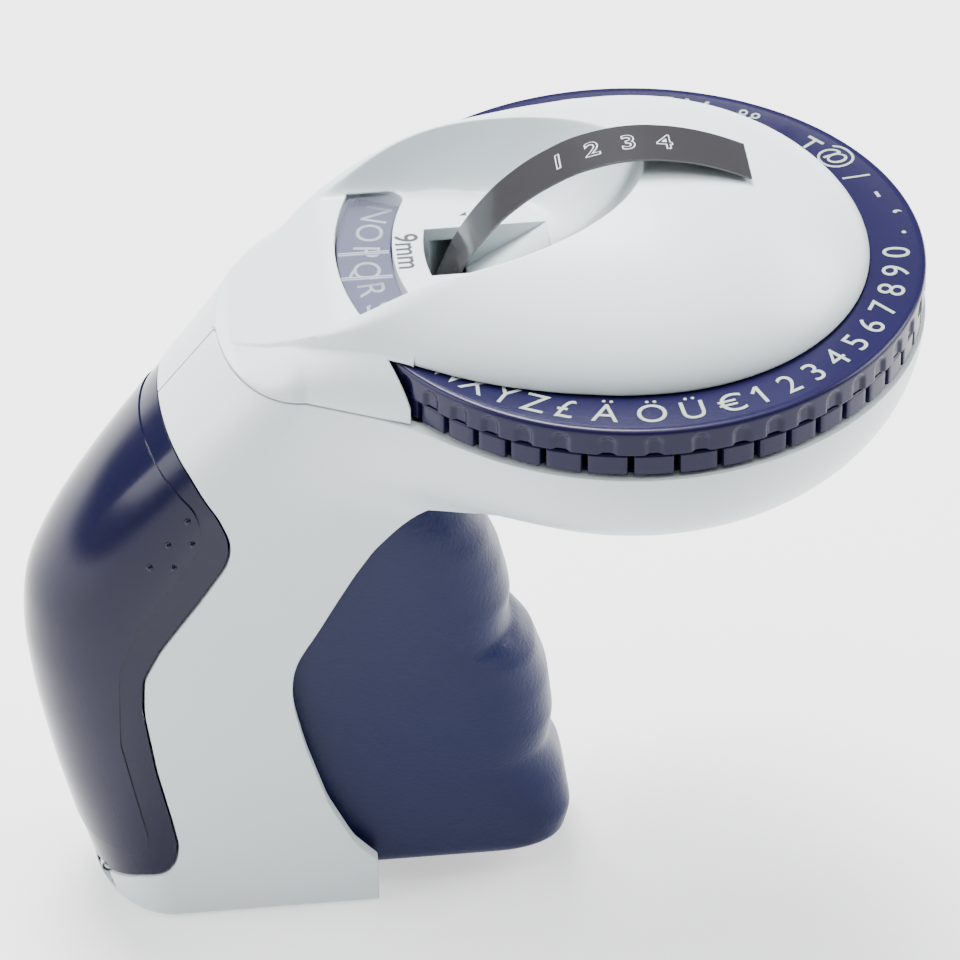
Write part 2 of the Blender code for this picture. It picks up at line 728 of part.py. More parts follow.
def make_casing():
    """The whole casing as one hollow body, then split into its two halves."""
    casing = handle_form("casing_outer", 0.0, 0.0)
    unite(casing, pan_form("pan_outer", 0.0))
    cut(casing, handle_form("casing_hollow", wall, floor_thickness), pan_form("pan_hollow", wall))
    casing = settle(casing, "casing_hollowed", guide=True)
    middle, length = span(casing_top, seam_z + overrun * 2)
    swing = hinge_swing_half_width * 2
    cut(
        casing,
        plate("cover_opening", [side_outline(cover_outline_shares)], neck_half_width * 2),
        plate("trigger_opening", [opening_outline()], neck_half_width * 2),
        rod("above_casing", (0.0, 0.0, middle), back_reach * 2, length),
        rod("hinge_room", (hinge_x, 0.0, hinge_z), hinge_swing_radius, swing, "Y"),
    )
    casing = settle(casing, "casing_opened", guide=True)
    add_casing_bosses(casing)
    casing = settle(casing, "casing_bossed", guide=True)
    cut_casing_bores(casing)
    casing = settle(casing, "casing_whole", guide=True)
    reach = back_reach * 2
    for name, side in (("left_shell", 1.0), ("right_shell", -1.0)):
        half = add_object(name + "_half", casing.data.copy(), guide=True)
        near, far = sorted((side * gap / 2, -side * reach))
        cut(half, block(name + "_other_side", (-reach, near, -reach), (reach, far, reach)))
        settle(half, name, shell_grey)
    bpy.data.objects.remove(casing, do_unlink=True)


# Top cover: neck and dome with the sunk dish

def crest_z(x):
    """Height of the cover's ridge behind the dome."""
    return ring_top_z + dome_rise * between(crest_shares[::-1], (wheel_x - x) / neck_reach)


def edge_half_width(x):
    """Half width of the dome's lower edge."""
    if x > wheel_x:
        return math.sqrt(max(dome_radius ** 2 - (x - wheel_x) ** 2, 0.0))
    return dome_radius * between(edge_shares, (wheel_x - x) / neck_reach)


def cover_half_width(x):
    """Half width of the cover's plan."""
    if x > neck_front_x:
        return edge_half_width(x)
    return max(edge_half_width(x), plan_half_width(x, seam_z))


def dome_z(x, y):
    """Height of the dome above its lower edge."""
    share = (y / max(edge_half_width(min(x, wheel_x)), gap)) ** 2
    if x > wheel_x:
        share = (y ** 2 + (x - wheel_x) ** 2) / dome_radius ** 2
    return dome_edge_z + dome_rise * max(1.0 - share, 0.0) ** dome_power


def neck_z(x, y):
    """Height of the neck, which falls to the seam at its sides."""
    if x > neck_front_x:
        return seam_z
    power = between(neck_power_shares, (wheel_x - x) / neck_reach)
    share = abs(y) / max(plan_half_width(x, seam_z), gap)
    return seam_z + (crest_z(x) - seam_z) * math.sqrt(max(1.0 - share ** power, 0.0))


def cover_z(x, y):
    """Height of the cover's outer face before the dish is sunk into it."""
    height = max(dome_z(x, y), neck_z(x, y))
    if x < wheel_x - neck_reach * crest_limit_share:
        height = min(height, crest_z(x))
    if abs(y) >= edge_half_width(x) and x <= neck_front_x:
        height = neck_z(x, y)
    return height


def cover_form(name, inset):
    """Neck and dome as one closed form from below the seam."""
    low = seam_z - overrun
    sides = list(section_shares) + [-share for share in section_shares[-2::-1]]
    stations = [wheel_x - share * (neck_reach - inset) for share in neck_station_shares]
    stations += [wheel_x + share * (dome_radius - inset) for share in dome_station_shares]
    rings = []
    for x in stations:
        half = cover_half_width(x) - inset
        ring = [(x, -half, low), (x, half, low)]
        ring += [(x, share * half, cover_z(x, share * half) - inset) for share in sides]
        rings.append(ring)
    return loft(name, rings)


def dish_scale(level, sideways):
    """Growth of the dish's outline with height, quicker in front than at the sides."""
    start = dish_front_share + (dish_side_share - dish_front_share) * sideways
    return start + (1.0 - start) * math.sqrt(level)


def dish_form(name, grow):
    """Sunk dish: straight sides behind, a half ellipse in front, flaring upwards."""
    back = spine_x(seam_z) - overrun
    rings = []
    for level in dish_level_shares:
        side = dish_half_width * dish_scale(level, 1.0) + grow
        ring = [(back, -side)]
        for index in range(dish_steps + 1):
            angle = -math.pi / 2 + math.pi * index / dish_steps
            scale = dish_scale(level, abs(math.sin(angle)))
            long_half = dish_length * scale + grow
            wide_half = dish_half_width * scale + grow
            along, across = ellipse_point(angle, long_half, wide_half)
            ring.append((dish_centre_x + along, across))
        ring.append((back, side))
        height = dish_floor_z - grow + dish_depth * level
        rings.append([(x, y, height) for x, y in ring])
    return loft(name, rings)


def ring_tool(name, inner, outer, low, high, steps=48):
    """Ring about the wheel's axis."""
    profile = [(inner, high), (outer, high), (outer, low), (inner, low)]
    return turned(name, profile, (wheel_x, 0.0, 0.0), steps)


def sector_outline(inner, outer, half_degrees):
    """Part of a ring on the rear side of the wheel."""
    start = 180.0 - half_degrees
    end = 180.0 + half_degrees
    centre = (wheel_x, 0.0)
    return arc(centre, outer, start, end, sector_steps) + arc(centre, inner, end, start, sector_steps)


def make_cover_shell():
    """Top cover with its hollow, the dish and the room for the wheel."""
    cover = cover_form("cover_outer", 0.0)
    hollow = cover_form("cover_hollow", wall)
    low = seam_z - overrun * 2
    keep_top = wheel_cavity_top_z + wall * 0.7
    boss_inner = boss_outer_radius - boss_wall
    cut(
        hollow,
        dish_form("dish_under", wall),
        ring_tool("wheel_roof", boss_inner, wheel_cavity_radius + wall, low, keep_top),
    )
    hollow = settle(hollow, "cover_hollowing", guide=True)
    middle, length = span(low, seam_z)
    cut(
        cover,
        hollow,
        dish_form("dish", 0.0),
        ring_tool("wheel_room", boss_outer_radius, wheel_cavity_radius, low, wheel_cavity_top_z, 64),
        rod("below_cover", (0.0, 0.0, middle), back_reach * 2, length),
    )
    return settle(cover, "cover_shell", guide=True)


def make_top_cover():
    """Top cover with screw posts, the tape's slot and the window's opening."""
    cover = make_cover_shell()
    for index, (x, y) in enumerate(post_places):
        outward = 1.0 + post_radius / math.hypot(x - wheel_x, y)
        roof = cover_z(wheel_x + (x - wheel_x) * outward, y * outward) - wall / 2
        middle, length = span(post_meet_z + gap, roof)
        unite(cover, rod(f"cover_post_{index}", (x, y, middle), post_radius, length))
    well_top = dish_floor_z - wall / 2
    well_front = slot_front_x + ramp_thickness / 2
    well = [
        (ramp_foot_x, ramp_foot_z - ramp_thickness), (well_front, well_top - ramp_thickness),
        (well_front, well_top), (ramp_foot_x, well_top),
    ]
    unite(cover, plate("slot_well", [well], slot_half_width + ramp_thickness / 2))
    cover = settle(cover, "cover_posted", guide=True)
    slot = [
        (slot_back_x, ramp_foot_z), (ramp_foot_x, ramp_foot_z), (slot_front_x, dish_floor_z - gap),
        (slot_front_x, dish_floor_z + overrun), (slot_back_x, dish_floor_z + overrun),
    ]
    cut(cover, plate("tape_slot", [slot], slot_half_width))
    notch_x = wheel_x - boss_outer_radius
    low = (notch_x - boss_wall, -slot_half_width, seam_z - overrun)
    high = (notch_x + boss_wall * 1.6, slot_half_width, wheel_cavity_top_z - boss_wall / 2)
    cut(cover, block("boss_notch", low, high))
    half_degrees = window_half_degrees + math.degrees(gap / window_outer_radius)
    opening = sector_outline(window_inner_radius - gap, window_outer_radius + gap, half_degrees)
    middle, length = span(wheel_cavity_top_z - wall / 2, dish_floor_z + gap * 2)
    cut(cover, plate("window_opening", [opening], length / 2, "XY", middle))
    for index, (x, y) in enumerate(post_places):
        middle, length = span(post_meet_z - overrun, screw_tip_z + gap)
        cut(cover, rod(f"post_bore_{index}", (x, y, middle), post_bore_radius, length))
    return settle(cover, "top_cover", shell_grey)


def make_window():
    """Clear plate in the dish over the printed ring."""
    outline = sector_outline(window_inner_radius, window_outer_radius, window_half_degrees)
    middle = dish_floor_z + gap - window_thickness / 2
    return plate("dial_window", [outline], window_thickness / 2, "XY", middle, clear_smoke, False)


# Rear cover over the tape roll

def make_rear_cover():
    """Piece of the handle's wall inside the cover's outline, with its hinge barrel."""
    cover = handle_form("rear_outer", 0.0, 0.0)
    cut(cover, handle_form("rear_hollow", wall, floor_thickness))
    outline = offset_outline(side_outline(cover_outline_shares)[::-1], cover_gap)
    join_shape(cover, plate("rear_outline", [outline], neck_half_width * 2), "INTERSECT")
    cover = settle(cover, "rear_cover_skin", guide=True)
    for side in (-1.0, 1.0):
        middle, length = span(hinge_barrel_half_length - gap, hinge_ear_high + gap)
        centre = (hinge_x, side * middle, hinge_z)
        cut(cover, rod(f"ear_room_{side}", centre, hinge_ear_radius + gap, length, "Y"))
    cover = settle(cover, "rear_cover_cut", guide=True)
    length = hinge_barrel_half_length * 2
    centre = (hinge_x, 0.0, hinge_z)
    unite(cover, rod("hinge_barrel", centre, hinge_barrel_radius, length, "Y"))
    cover = settle(cover, "rear_cover_barrel", guide=True)
    cut(cover, rod("barrel_bore", centre, hinge_bore_radius, length + overrun, "Y", axle_steps))
    return settle(cover, "rear_cover", cover_navy)


# Trigger: the grip that shows and the core behind it

def grip_front(height):
    """Front of the grip at a height."""
    return back_reach * between(grip_front_shares, height / seam_z)


def grip_back(height):
    """Rear edge of the grip, tucked behind the edge of the trigger opening."""
    table = [(up, across) for across, up in opening_edge_shares]
    return back_reach * between(table, height / seam_z) - grip_tuck


def grip_ring(height, inset, back_extra):
    """Plan section of the grip: flat back, straight sides, rounded front corners."""
    front = grip_front(height) - inset
    back = min(grip_back(height), front - trigger_wall) - back_extra
    corner = min(grip_corner - inset, front - back - gap)
    flat = trigger_half_width - grip_corner_width
    ring = [(back, -trigger_half_width + inset, height)]
    for side in (-1.0, 1.0):
        for index in range(grip_corner_steps + 1):
            share = index / grip_corner_steps
            turn = share if side < 0.0 else 1.0 - share
            along, across = ellipse_point(math.pi / 2 * (1.0 - turn), corner, grip_corner_width - inset)
            ring.append((front - corner + along, side * (flat + across), height))
    ring.append((back, trigger_half_width - inset, height))
    return ring


def make_trigger_grip():
    """Grip: a thin skin open behind and at the top."""
    levels = [share * seam_z for share, _ in grip_front_shares]
    grip = loft("grip_outer", [grip_ring(level, 0.0, 0.0) for level in levels])
    floor = levels[0] + trigger_wall
    inner = [floor] + [level for level in levels if level > floor + gap]
    rings = [grip_ring(level, trigger_wall, overrun) for level in inner]
    rings.append([(x, y, z + overrun) for x, y, z in rings[-1]])
    cut(grip, loft("grip_hollow", rings))
    return settle(grip, "trigger_grip", grip_navy)


def make_trigger_core():
    """Lever behind the grip: arm, pivot barrel and the nose that lifts the platen."""
    step = (core_top_z - core_bottom_z) / core_steps
    front = []
    for index in range(core_steps + 1):
        level = core_bottom_z + step * index
        nearest = min(grip_front(level - step), grip_front(level), grip_front(level + step))
        front.append((nearest - trigger_wall - gap, level))
    back = [(x - core_thickness, z) for x, z in front][::-1]
    hold = pivot_barrel_radius * 0.9
    arm = front + [(pivot_x + hold, pivot_z), (pivot_x - hold, pivot_z)] + back
    core = plate("core_arm", [arm], core_half_width)
    barrel_length = (core_half_width - gap) * 2
    centre = (pivot_x, 0.0, pivot_z)
    unite(core, rod("core_barrel", centre, pivot_barrel_radius, barrel_length, "Y", 28))
    slant = nose_radius * 0.7
    nose = [
        (pivot_x, pivot_z + hold), (platen_x, nose_z + nose_radius),
        (platen_x - slant, nose_z + slant), (platen_x - nose_radius, nose_z),
        (platen_x - slant, nose_z - slant), (pivot_x, pivot_z - hold),
    ]
    unite(core, plate("core_nose", [nose], core_half_width - gap * 2))
    core = settle(core, "core_joined", guide=True)
    cut(core, rod("core_bore", centre, pin_bore_radius, core_half_width * 3, "Y"))
    return settle(core, "trigger_core", mechanism_grey)


def make_feed_finger():
    """Thin leaf on the trigger that pushes the ratchet."""
    tip = Vector((finger_tip_x, finger_tip_z))
    nose = Vector((platen_x, nose_z))
    along = (tip - nose).normalized()
    across = Vector((-along.y, along.x)) * finger_thickness / 2
    root = nose + along * (nose_radius + gap)
    outline = [tuple(root + across), tuple(root - across), tuple(tip - across), tuple(tip + across)]
    return plate("feed_finger", [outline], finger_width / 2, "XZ", ratchet_y, steel, False)


# Mechanism frame, platen and spring

def make_frame():
    """Two cheeks joined by a plate, with bores for the pins and the platen's stem."""
    plate_top = frame_plate_z + frame_plate_thickness
    outline = [
        (frame_back_x, cheek_bottom_z), (frame_front_x, cheek_bottom_z), (frame_front_x, plate_top),
        (cheek_ear_front_x, plate_top), (cheek_ear_front_x, cheek_top_z),
        (feed_x, cheek_top_z), (cheek_ear_back_x, cheek_top_z - cheek_thickness),
        (cheek_ear_back_x, plate_top), (frame_back_x, plate_top),
    ]
    frame = block(
        "frame_plate",
        (frame_back_x, -cheek_inner_y - gap, frame_plate_z),
        (frame_front_x, cheek_inner_y + gap, plate_top),
    )
    for side in (-1.0, 1.0):
        middle = side * (cheek_inner_y + cheek_thickness / 2)
        unite(frame, plate(f"frame_cheek_{side}", [outline], cheek_thickness / 2, "XZ", middle))
    frame = settle(frame, "frame_joined", guide=True)
    low = (frame_back_x - overrun, -plate_slot_half_width, frame_plate_z - gap)
    high = (plate_slot_front_x, plate_slot_half_width, plate_top + gap)
    cut(frame, block("plate_slot", low, high))
    middle, length = span(frame_plate_z - gap, plate_top + gap)
    cut(frame, rod("stem_bore", (platen_x, 0.0, middle), platen_stem_radius + gap, length))
    for name, x, z, radius in (
        ("frame_pin_bore", pivot_x, pivot_z, pin_bore_radius),
        ("feed_axle_bore", feed_x, feed_z, axle_bore_radius),
        ("pressure_axle_bore", feed_x, pressure_z, axle_bore_radius),
    ):
        cut(frame, rod(name, (x, 0.0, z), radius, cheek_outer_y * 3, "Y", axle_steps))
    return settle(frame, "mechanism_frame", mechanism_grey)


def make_platen():
    """Stem with a flange for the spring and a flat head under the tape."""
    head_low = frame_plate_z + frame_plate_thickness + gap
    flange_top = platen_bottom_z + platen_flange_thickness
    stem_top = head_low + platen_head_thickness / 2
    profile = [
        (0.0, stem_top), (platen_stem_radius, stem_top),
        (platen_stem_radius, flange_top), (platen_flange_radius, flange_top),
        (platen_flange_radius, platen_bottom_z), (0.0, platen_bottom_z),
    ]
    platen = turned("platen_stem", profile, (platen_x, 0.0, 0.0), 20)
    low = (platen_x - platen_head_length / 2, -platen_head_width / 2, head_low)
    high = (platen_x + platen_head_length / 2, platen_head_width / 2, head_low + platen_head_thickness)
    unite(platen, block("platen_head", low, high))
    return settle(platen, "platen", mechanism_grey)


def make_return_spring():
    """Coil about the platen's stem, between its flange and the frame's plate."""
    low = platen_bottom_z + platen_flange_thickness + gap + spring_wire_radius
    high = frame_plate_z - gap - spring_wire_radius
    count = round(spring_turns * spring_points_per_turn)
    points = []
    for index in range(count + 1):
        angle = math.tau * index / spring_points_per_turn
        along, across = ellipse_point(angle, spring_radius, spring_radius)
        points.append((platen_x + along, across, low + (high - low) * index / count))
    pitch = (high - low) / spring_turns
    print("return spring gap between turns, metres:", pitch - spring_wire_radius * 2)
    return tube("return_spring", points, spring_wire_radius, 1, steel)


# Rollers, ratchet and tape

def sleeve(name, x, z, half_width, outer, inner, finish, steps=24):
    """Hollow cylinder across the casing."""
    profile = [(inner, half_width), (outer, half_width), (outer, -half_width), (inner, -half_width)]
    return turned(name, profile, (x, 0.0, z), steps, "Y", finish, False)


def circle_point(radius, degrees):
    """One point about the feed axle, as a list."""
    return arc((feed_x, feed_z), radius, degrees, degrees, 1)[:1]


def make_ratchet():
    """Toothed wheel beside the feed roller."""
    outline = []
    pitch = 360.0 / ratchet_teeth
    for tooth in range(ratchet_teeth):
        angle = pitch * tooth
        outline += circle_point(ratchet_radius, angle)
        outline += circle_point(ratchet_radius - ratchet_tooth_depth, angle + pitch * 0.85)
    bore = circle((feed_x, feed_z), axle_bore_radius, axle_steps)
    return plate("ratchet_wheel", [outline, bore], ratchet_thickness / 2, "XZ", ratchet_y, steel, False)


def make_label_tape():
    """Strip from the roll, under the dies, up through the slot and over the dome."""
    rise = dish_floor_z - tape_z
    dome_top_z = dome_edge_z + dome_rise
    exit_radius = roll_radius + tape_lift
    path = [Vector(arc((roll_x, roll_z), exit_radius, roll_exit_degrees, roll_exit_degrees, 1)[0])]
    path += [Vector((platen_x + x * rise, tape_z + z * rise)) for x, z in tape_feed_shares]
    path += [Vector((wheel_x + x * dome_radius, dome_top_z + z * dome_rise)) for x, z in tape_arch_shares]
    upper = []
    lower = []
    for index, here in enumerate(path):
        before = path[max(index - 1, 0)]
        after = path[min(index + 1, len(path) - 1)]
        along = (after - before).normalized()
        across = Vector((-along.y, along.x)) * tape_thickness / 2
        upper.append(tuple(here + across))
        lower.append(tuple(here - across))
    return plate("label_tape", [upper + lower[::-1]], tape_width / 2, "XZ", 0.0, tape_dark, False)


def make_cradle():
    """Spindle for the tape roll between two discs, with trunnions to the casing."""
    spindle_radius = roll_bore_radius - core_wall - gap * 2
    centre = (roll_x, 0.0, roll_z)
    cradle = rod("spindle", centre, spindle_radius, (cradle_half_width - gap) * 2, "Y", 24)
    reach = handle_half_width(roll_z) - wall - gap * 3
    unite(cradle, rod("trunnions", centre, cradle_trunnion_radius, reach * 2, "Y", 16))
    for side in (-1.0, 1.0):
        middle, length = span(tape_width / 2 + gap * 2, cradle_half_width)
        centre = (roll_x, side * middle, roll_z)
        unite(cradle, rod(f"cradle_disc_{side}", centre, cradle_disc_radius, length, "Y", 28))
    return settle(cradle, "tape_cradle", mechanism_grey)


# Character wheel

def cell_angles():
    """Middle of every cell and the boundary before it, in degrees."""
    middles = [first_cell_degrees]
    for count, step in cell_steps:
        for _ in range(count):
            middles.append(middles[-1] + step)
    before = [middles[-1] - 360.0] + middles[:-1]
    return middles, [(low + high) / 2 for low, high in zip(before, middles)]


def polar(radius, degrees):
    """Point about the wheel's axis."""
    across, along = ellipse_point(math.radians(degrees), radius, radius)
    return wheel_x + across, along


def make_letter_ring():
    """Printed ring with a scalloped, chamfered edge."""
    middles, edges = cell_angles()
    ends = edges[1:] + [edges[0] + 360.0]
    low = ring_top_z - letter_ring_height
    tiers = (
        (ring_outer_radius, low), (ring_outer_radius, ring_top_z - scallop_depth),
        (ring_outer_radius - scallop_depth, ring_top_z),
    )
    rings = []
    for radius, height in tiers:
        ring = []
        for start, end in zip(edges, ends):
            for share, dip in ((0.2, 0.0), (0.5, 1.0), (0.8, 0.0)):
                x, y = polar(radius - scallop_depth * dip, start + (end - start) * share)
                ring.append((x, y, height))
        rings.append(ring)
    wheel = loft("letter_disc", rings)
    middle, length = span(low - overrun, ring_top_z + overrun)
    cut(wheel, rod("letter_bore", (wheel_x, 0.0, middle), ring_inner_radius, length, "Z", bore_steps))
    x, y = polar(window_inner_radius, index_notch_degrees)
    half = index_notch_length / 2
    notch_low = (x - half, y - half, ring_top_z - half)
    notch_high = (x + half, y + half, ring_top_z + overrun)
    cut(wheel, block("index_notch", notch_low, notch_high))
    return settle(wheel, "letter_ring", wheel_navy)


def make_die_ring():
    """Ring of die fingers under the printed ring, parted by slots."""
    middles, edges = cell_angles()
    inner = ring_outer_radius - die_slot_depth
    outer_turn = math.degrees(die_slot_width / 2 / ring_outer_radius)
    inner_turn = math.degrees(die_slot_width / 2 / inner)
    outline = []
    for edge in edges:
        outline.append(polar(die_outer_radius, edge - outer_turn))
        outline.append(polar(inner, edge - inner_turn))
        outline.append(polar(inner, edge + inner_turn))
        outline.append(polar(die_outer_radius, edge + outer_turn))
    bore = circle((wheel_x, 0.0), ring_inner_radius, bore_steps)
    middle, length = span(die_bottom_z, die_top_z)
    ring = plate("die_disc", [outline, bore], length / 2, "XY", middle)
    turn = Matrix.Rotation(math.radians(middles[blade_cell]), 4, "Z")
    place = Matrix.Translation((wheel_x, 0.0, 0.0)) @ turn
    half = blade_thickness / 2
    room_low = (inner, -half - gap, die_bottom_z - gap)
    room_high = (ring_outer_radius + gap, half + gap, die_top_z + gap)
    room = block("blade_room", room_low, room_high)
    room.data.transform(place)
    cut(ring, room)
    blade_low = (inner + gap, -half, die_bottom_z + gap)
    blade_high = (inner + gap + blade_length, half, die_top_z - gap)
    blade = block("cutter_blade", blade_low, blade_high, steel, False)
    blade.data.transform(place)
    return settle(ring, "die_ring", wheel_navy)


def make_wheel_bed():
    """Flat ring in the pan's mouth that carries the wheel, open towards the neck."""
    low_z = casing_top - bed_thickness
    bed = ring_tool("bed_disc", bed_window_radius, bed_radius, low_z, casing_top, bore_steps)
    low = (wheel_x - bed_radius - overrun, -bed_slot_half_width, low_z - gap)
    high = (bed_slot_front_x, bed_slot_half_width, casing_top + gap)
    cut(bed, block("bed_slot", low, high))
    return settle(bed, "wheel_bed", mechanism_grey)


# Screws

def screw_profile(head_low, shank_top):
    """Head below, shank above; listed from the top down the outer side."""
    head_top = head_low + screw_head_height
    return [
        (0.0, shank_top), (screw_radius * 0.6, shank_top), (screw_radius, shank_top - screw_radius),
        (screw_radius, head_top), (screw_head_radius, head_top),
        (screw_head_radius - screw_sink, head_low), (0.0, head_low),
    ]


def cross_screw(screw, name, head, axis):
    """Screw with a cross recess in its head."""
    arm = screw_head_radius * 0.65
    thin = screw_radius * 0.28
    deep = screw_head_height * 0.55
    for label, across in (("first", (arm, thin)), ("second", (thin, arm))):
        size = (*across, deep) if axis == "Z" else (across[0], deep, across[1])
        low = tuple(value - half for value, half in zip(head, size))
        high = tuple(value + half for value, half in zip(head, size))
        cut(screw, block(f"{name}_{label}_arm", low, high))
    return settle(screw, name, steel)


def make_screws():
    """Four screws up into the cover's posts and two across the casing."""
    for index, (x, y) in enumerate(post_places):
        name = f"cover_screw_{index + 1}"
        head_low = pan_bottom_z + screw_sink
        screw = turned(name, screw_profile(head_low, screw_tip_z), (x, y, 0.0), screw_steps)
        cross_screw(screw, name, (x, y, head_low), "Z")
    for index, (x, z) in enumerate(case_screw_places):
        name = f"case_screw_{index + 1}"
        head = (x, case_head_y(z), z)
        profile = screw_profile(0.0, head[1] - case_screw_tip_y)
        screw = turned(name, profile, (0.0, 0.0, 0.0), screw_steps)
        screw.data.transform(Matrix.Translation(head) @ Matrix.Rotation(math.pi / 2, 4, "X"))
        cross_screw(screw, name, head, "Y")


# Everything put together
make_casing()
make_top_cover()
make_window()
make_rear_cover()
hinge_centre = (hinge_x, 0.0, hinge_z)
pin_length = (hinge_ear_high - gap) * 2
rod("cover_hinge_pin", hinge_centre, hinge_pin_radius, pin_length, "Y", axle_steps, steel, False)
make_trigger_grip()
make_trigger_core()
make_feed_finger()
pivot_centre = (pivot_x, 0.0, pivot_z)
pin_length = pivot_pin_half_length * 2
rod("trigger_pivot_pin", pivot_centre, pivot_pin_radius, pin_length, "Y", 20, steel, False)
make_frame()
make_platen()
make_return_spring()
sleeve("feed_roller", feed_x, feed_z, feed_roller_half_width, feed_roller_radius, axle_bore_radius, rubber)
sleeve(
    "pressure_roller", feed_x, pressure_z, feed_roller_half_width, pressure_roller_radius,
    axle_bore_radius, rubber,
)
for axle, height in (("feed_axle", feed_z), ("pressure_axle", pressure_z)):
    rod(axle, (feed_x, 0.0, height), axle_radius, cheek_outer_y * 2, "Y", axle_steps, steel, False)
make_ratchet()
sleeve("tape_roll", roll_x, roll_z, tape_width / 2, roll_radius, roll_bore_radius, tape_dark, 44)
core_outer = roll_bore_radius - gap
sleeve("tape_core", roll_x, roll_z, tape_width / 2, core_outer, roll_bore_radius - core_wall, card, 32)
make_cradle()
make_label_tape()
make_letter_ring()
make_die_ring()
make_wheel_bed()
make_screws()

axis_points = {
    (wheel_x, 0.0, ring_top_z): ("letter_ring", "die_ring", "cutter_blade"),
    pivot_centre: ("trigger_grip", "trigger_core", "feed_finger"),
    (platen_x, 0.0, platen_bottom_z): ("platen",),
    hinge_centre: ("rear_cover",),
    (feed_x, 0.0, feed_z): ("feed_roller", "ratchet_wheel"),
    (feed_x, 0.0, pressure_z): ("pressure_roller",),
    (roll_x, 0.0, roll_z): ("tape_roll", "tape_core"),
}
for point, names in axis_points.items():
    for name in names:
        piece = parts.objects[name]
        bpy.context.view_layer.update()
        piece.data.transform(Matrix.Translation(-Vector(point)) @ piece.matrix_world)
        piece.location = point

print("pieces:", len(parts.objects))
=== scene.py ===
import math

import bmesh
import bpy
import numpy as np
from mathutils import Matrix, Vector


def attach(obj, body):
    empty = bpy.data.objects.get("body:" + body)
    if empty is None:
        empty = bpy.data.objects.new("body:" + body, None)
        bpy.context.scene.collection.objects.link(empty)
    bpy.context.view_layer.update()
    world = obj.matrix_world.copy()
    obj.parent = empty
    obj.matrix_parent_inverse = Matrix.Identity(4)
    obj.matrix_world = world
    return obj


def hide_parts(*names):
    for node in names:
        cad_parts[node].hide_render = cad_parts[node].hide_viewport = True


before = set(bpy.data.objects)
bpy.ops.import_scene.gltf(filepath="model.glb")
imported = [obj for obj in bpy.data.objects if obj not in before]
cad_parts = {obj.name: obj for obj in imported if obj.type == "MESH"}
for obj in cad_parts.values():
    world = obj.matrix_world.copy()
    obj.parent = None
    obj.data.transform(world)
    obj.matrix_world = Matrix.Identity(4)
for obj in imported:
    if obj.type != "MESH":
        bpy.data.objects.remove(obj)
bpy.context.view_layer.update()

mm = 0.001  # shapes below are worked out in millimetres, x forwards, y to the left side, z up


# helpers

easing = {"samples": 2401, "reach": 3, "beyond": 5}  # reach and overrun are in widths of the bell curve


# value between a table's points: straight lines between them, averaged over a bell curve
def eased(table, spread):
    at, value = np.array(table, float).T
    first = (value[1] - value[0]) / (at[1] - at[0])
    last = (value[-1] - value[-2]) / (at[-1] - at[-2])
    beyond = easing["beyond"] * spread
    at = np.concatenate([[at[0] - beyond], at, [at[-1] + beyond]])
    value = np.concatenate([[value[0] - beyond * first], value, [value[-1] + beyond * last]])
    fine = np.linspace(at[0], at[-1], easing["samples"])
    step = fine[1] - fine[0]
    count = int(easing["reach"] * spread / step)
    reach = np.arange(-count, count + 1) * step
    bell = np.exp(-0.5 * (reach / spread) ** 2)
    line = np.convolve(np.interp(fine, at, value), bell / bell.sum(), mode="same")
    return lambda where: np.interp(where, fine, line)


# a line through points with its corners eased, as points at even steps of its length
def softLine(points, spread, count):
    points = np.array(points, float)
    length = np.concatenate([[0], np.cumsum(np.hypot(*np.diff(points, axis=0).T))])
    where = np.linspace(0, length[-1], count)
    columns = [eased(np.stack([length, column], 1), spread)(where) for column in points.T]
    return np.stack(columns, 1)


# smaller of two values, less a parabola of their nearness, so the corner between them is rounded
def softLeast(a, b, width):
    near = np.clip(width - np.abs(a - b), 0, None) / width
    return np.minimum(a, b) - near ** 2 * width / 4


# larger of two values, rounded alike
def softMost(a, b, width):
    return -softLeast(-a, -b, width)


# share from 0 to 1 that starts and ends level: three times its square less twice its cube
def easeShare(value):
    held = np.clip(value, 0, 1)
    return held * held * (3 - 2 * held)


# direction of a flat line at each of its points, with a length of one
def directionOf(line):
    along = np.gradient(line, axis=0)
    return along / np.maximum(np.hypot(*along.T), 1e-9)[:, None]


# four-cornered faces over a grid of points that closes round its columns, and round its rows if asked
def gridFaces(rows, columns, ringRows=False):
    rowCount = rows if ringRows else rows - 1
    row, column = np.meshgrid(np.arange(rowCount), np.arange(columns), indexing="ij")
    nextRow, nextColumn = (row + 1) % rows, (column + 1) % columns
    near = (row * columns + column, row * columns + nextColumn)
    far = (nextRow * columns + nextColumn, nextRow * columns + column)
    return np.stack(near + far, -1).reshape(-1, 4)


# mesh from points in millimetres, its faces turned outwards
def addPiece(name, points, faces, turnOut=True):
    mesh = bpy.data.meshes.new(name)
    faces = [list(map(int, face)) for face in faces]
    mesh.from_pydata((np.asarray(points).reshape(-1, 3) * mm).tolist(), [], faces)
    made = bpy.data.objects.new(name, mesh)
    bpy.context.scene.collection.objects.link(made)
    if turnOut:
        work = bmesh.new()
        work.from_mesh(mesh)
        bmesh.ops.recalc_face_normals(work, faces=work.faces)
        work.to_mesh(mesh)
        work.free()
    return made


# skin over rows of points, closed round its columns, with a flat cap at each end
def skin(name, points):
    rows, columns = points.shape[:2]
    faces = gridFaces(rows, columns).tolist()
    faces += [list(range(columns))[::-1], list(range((rows - 1) * columns, rows * columns))]
    return addPiece(name, points, faces)


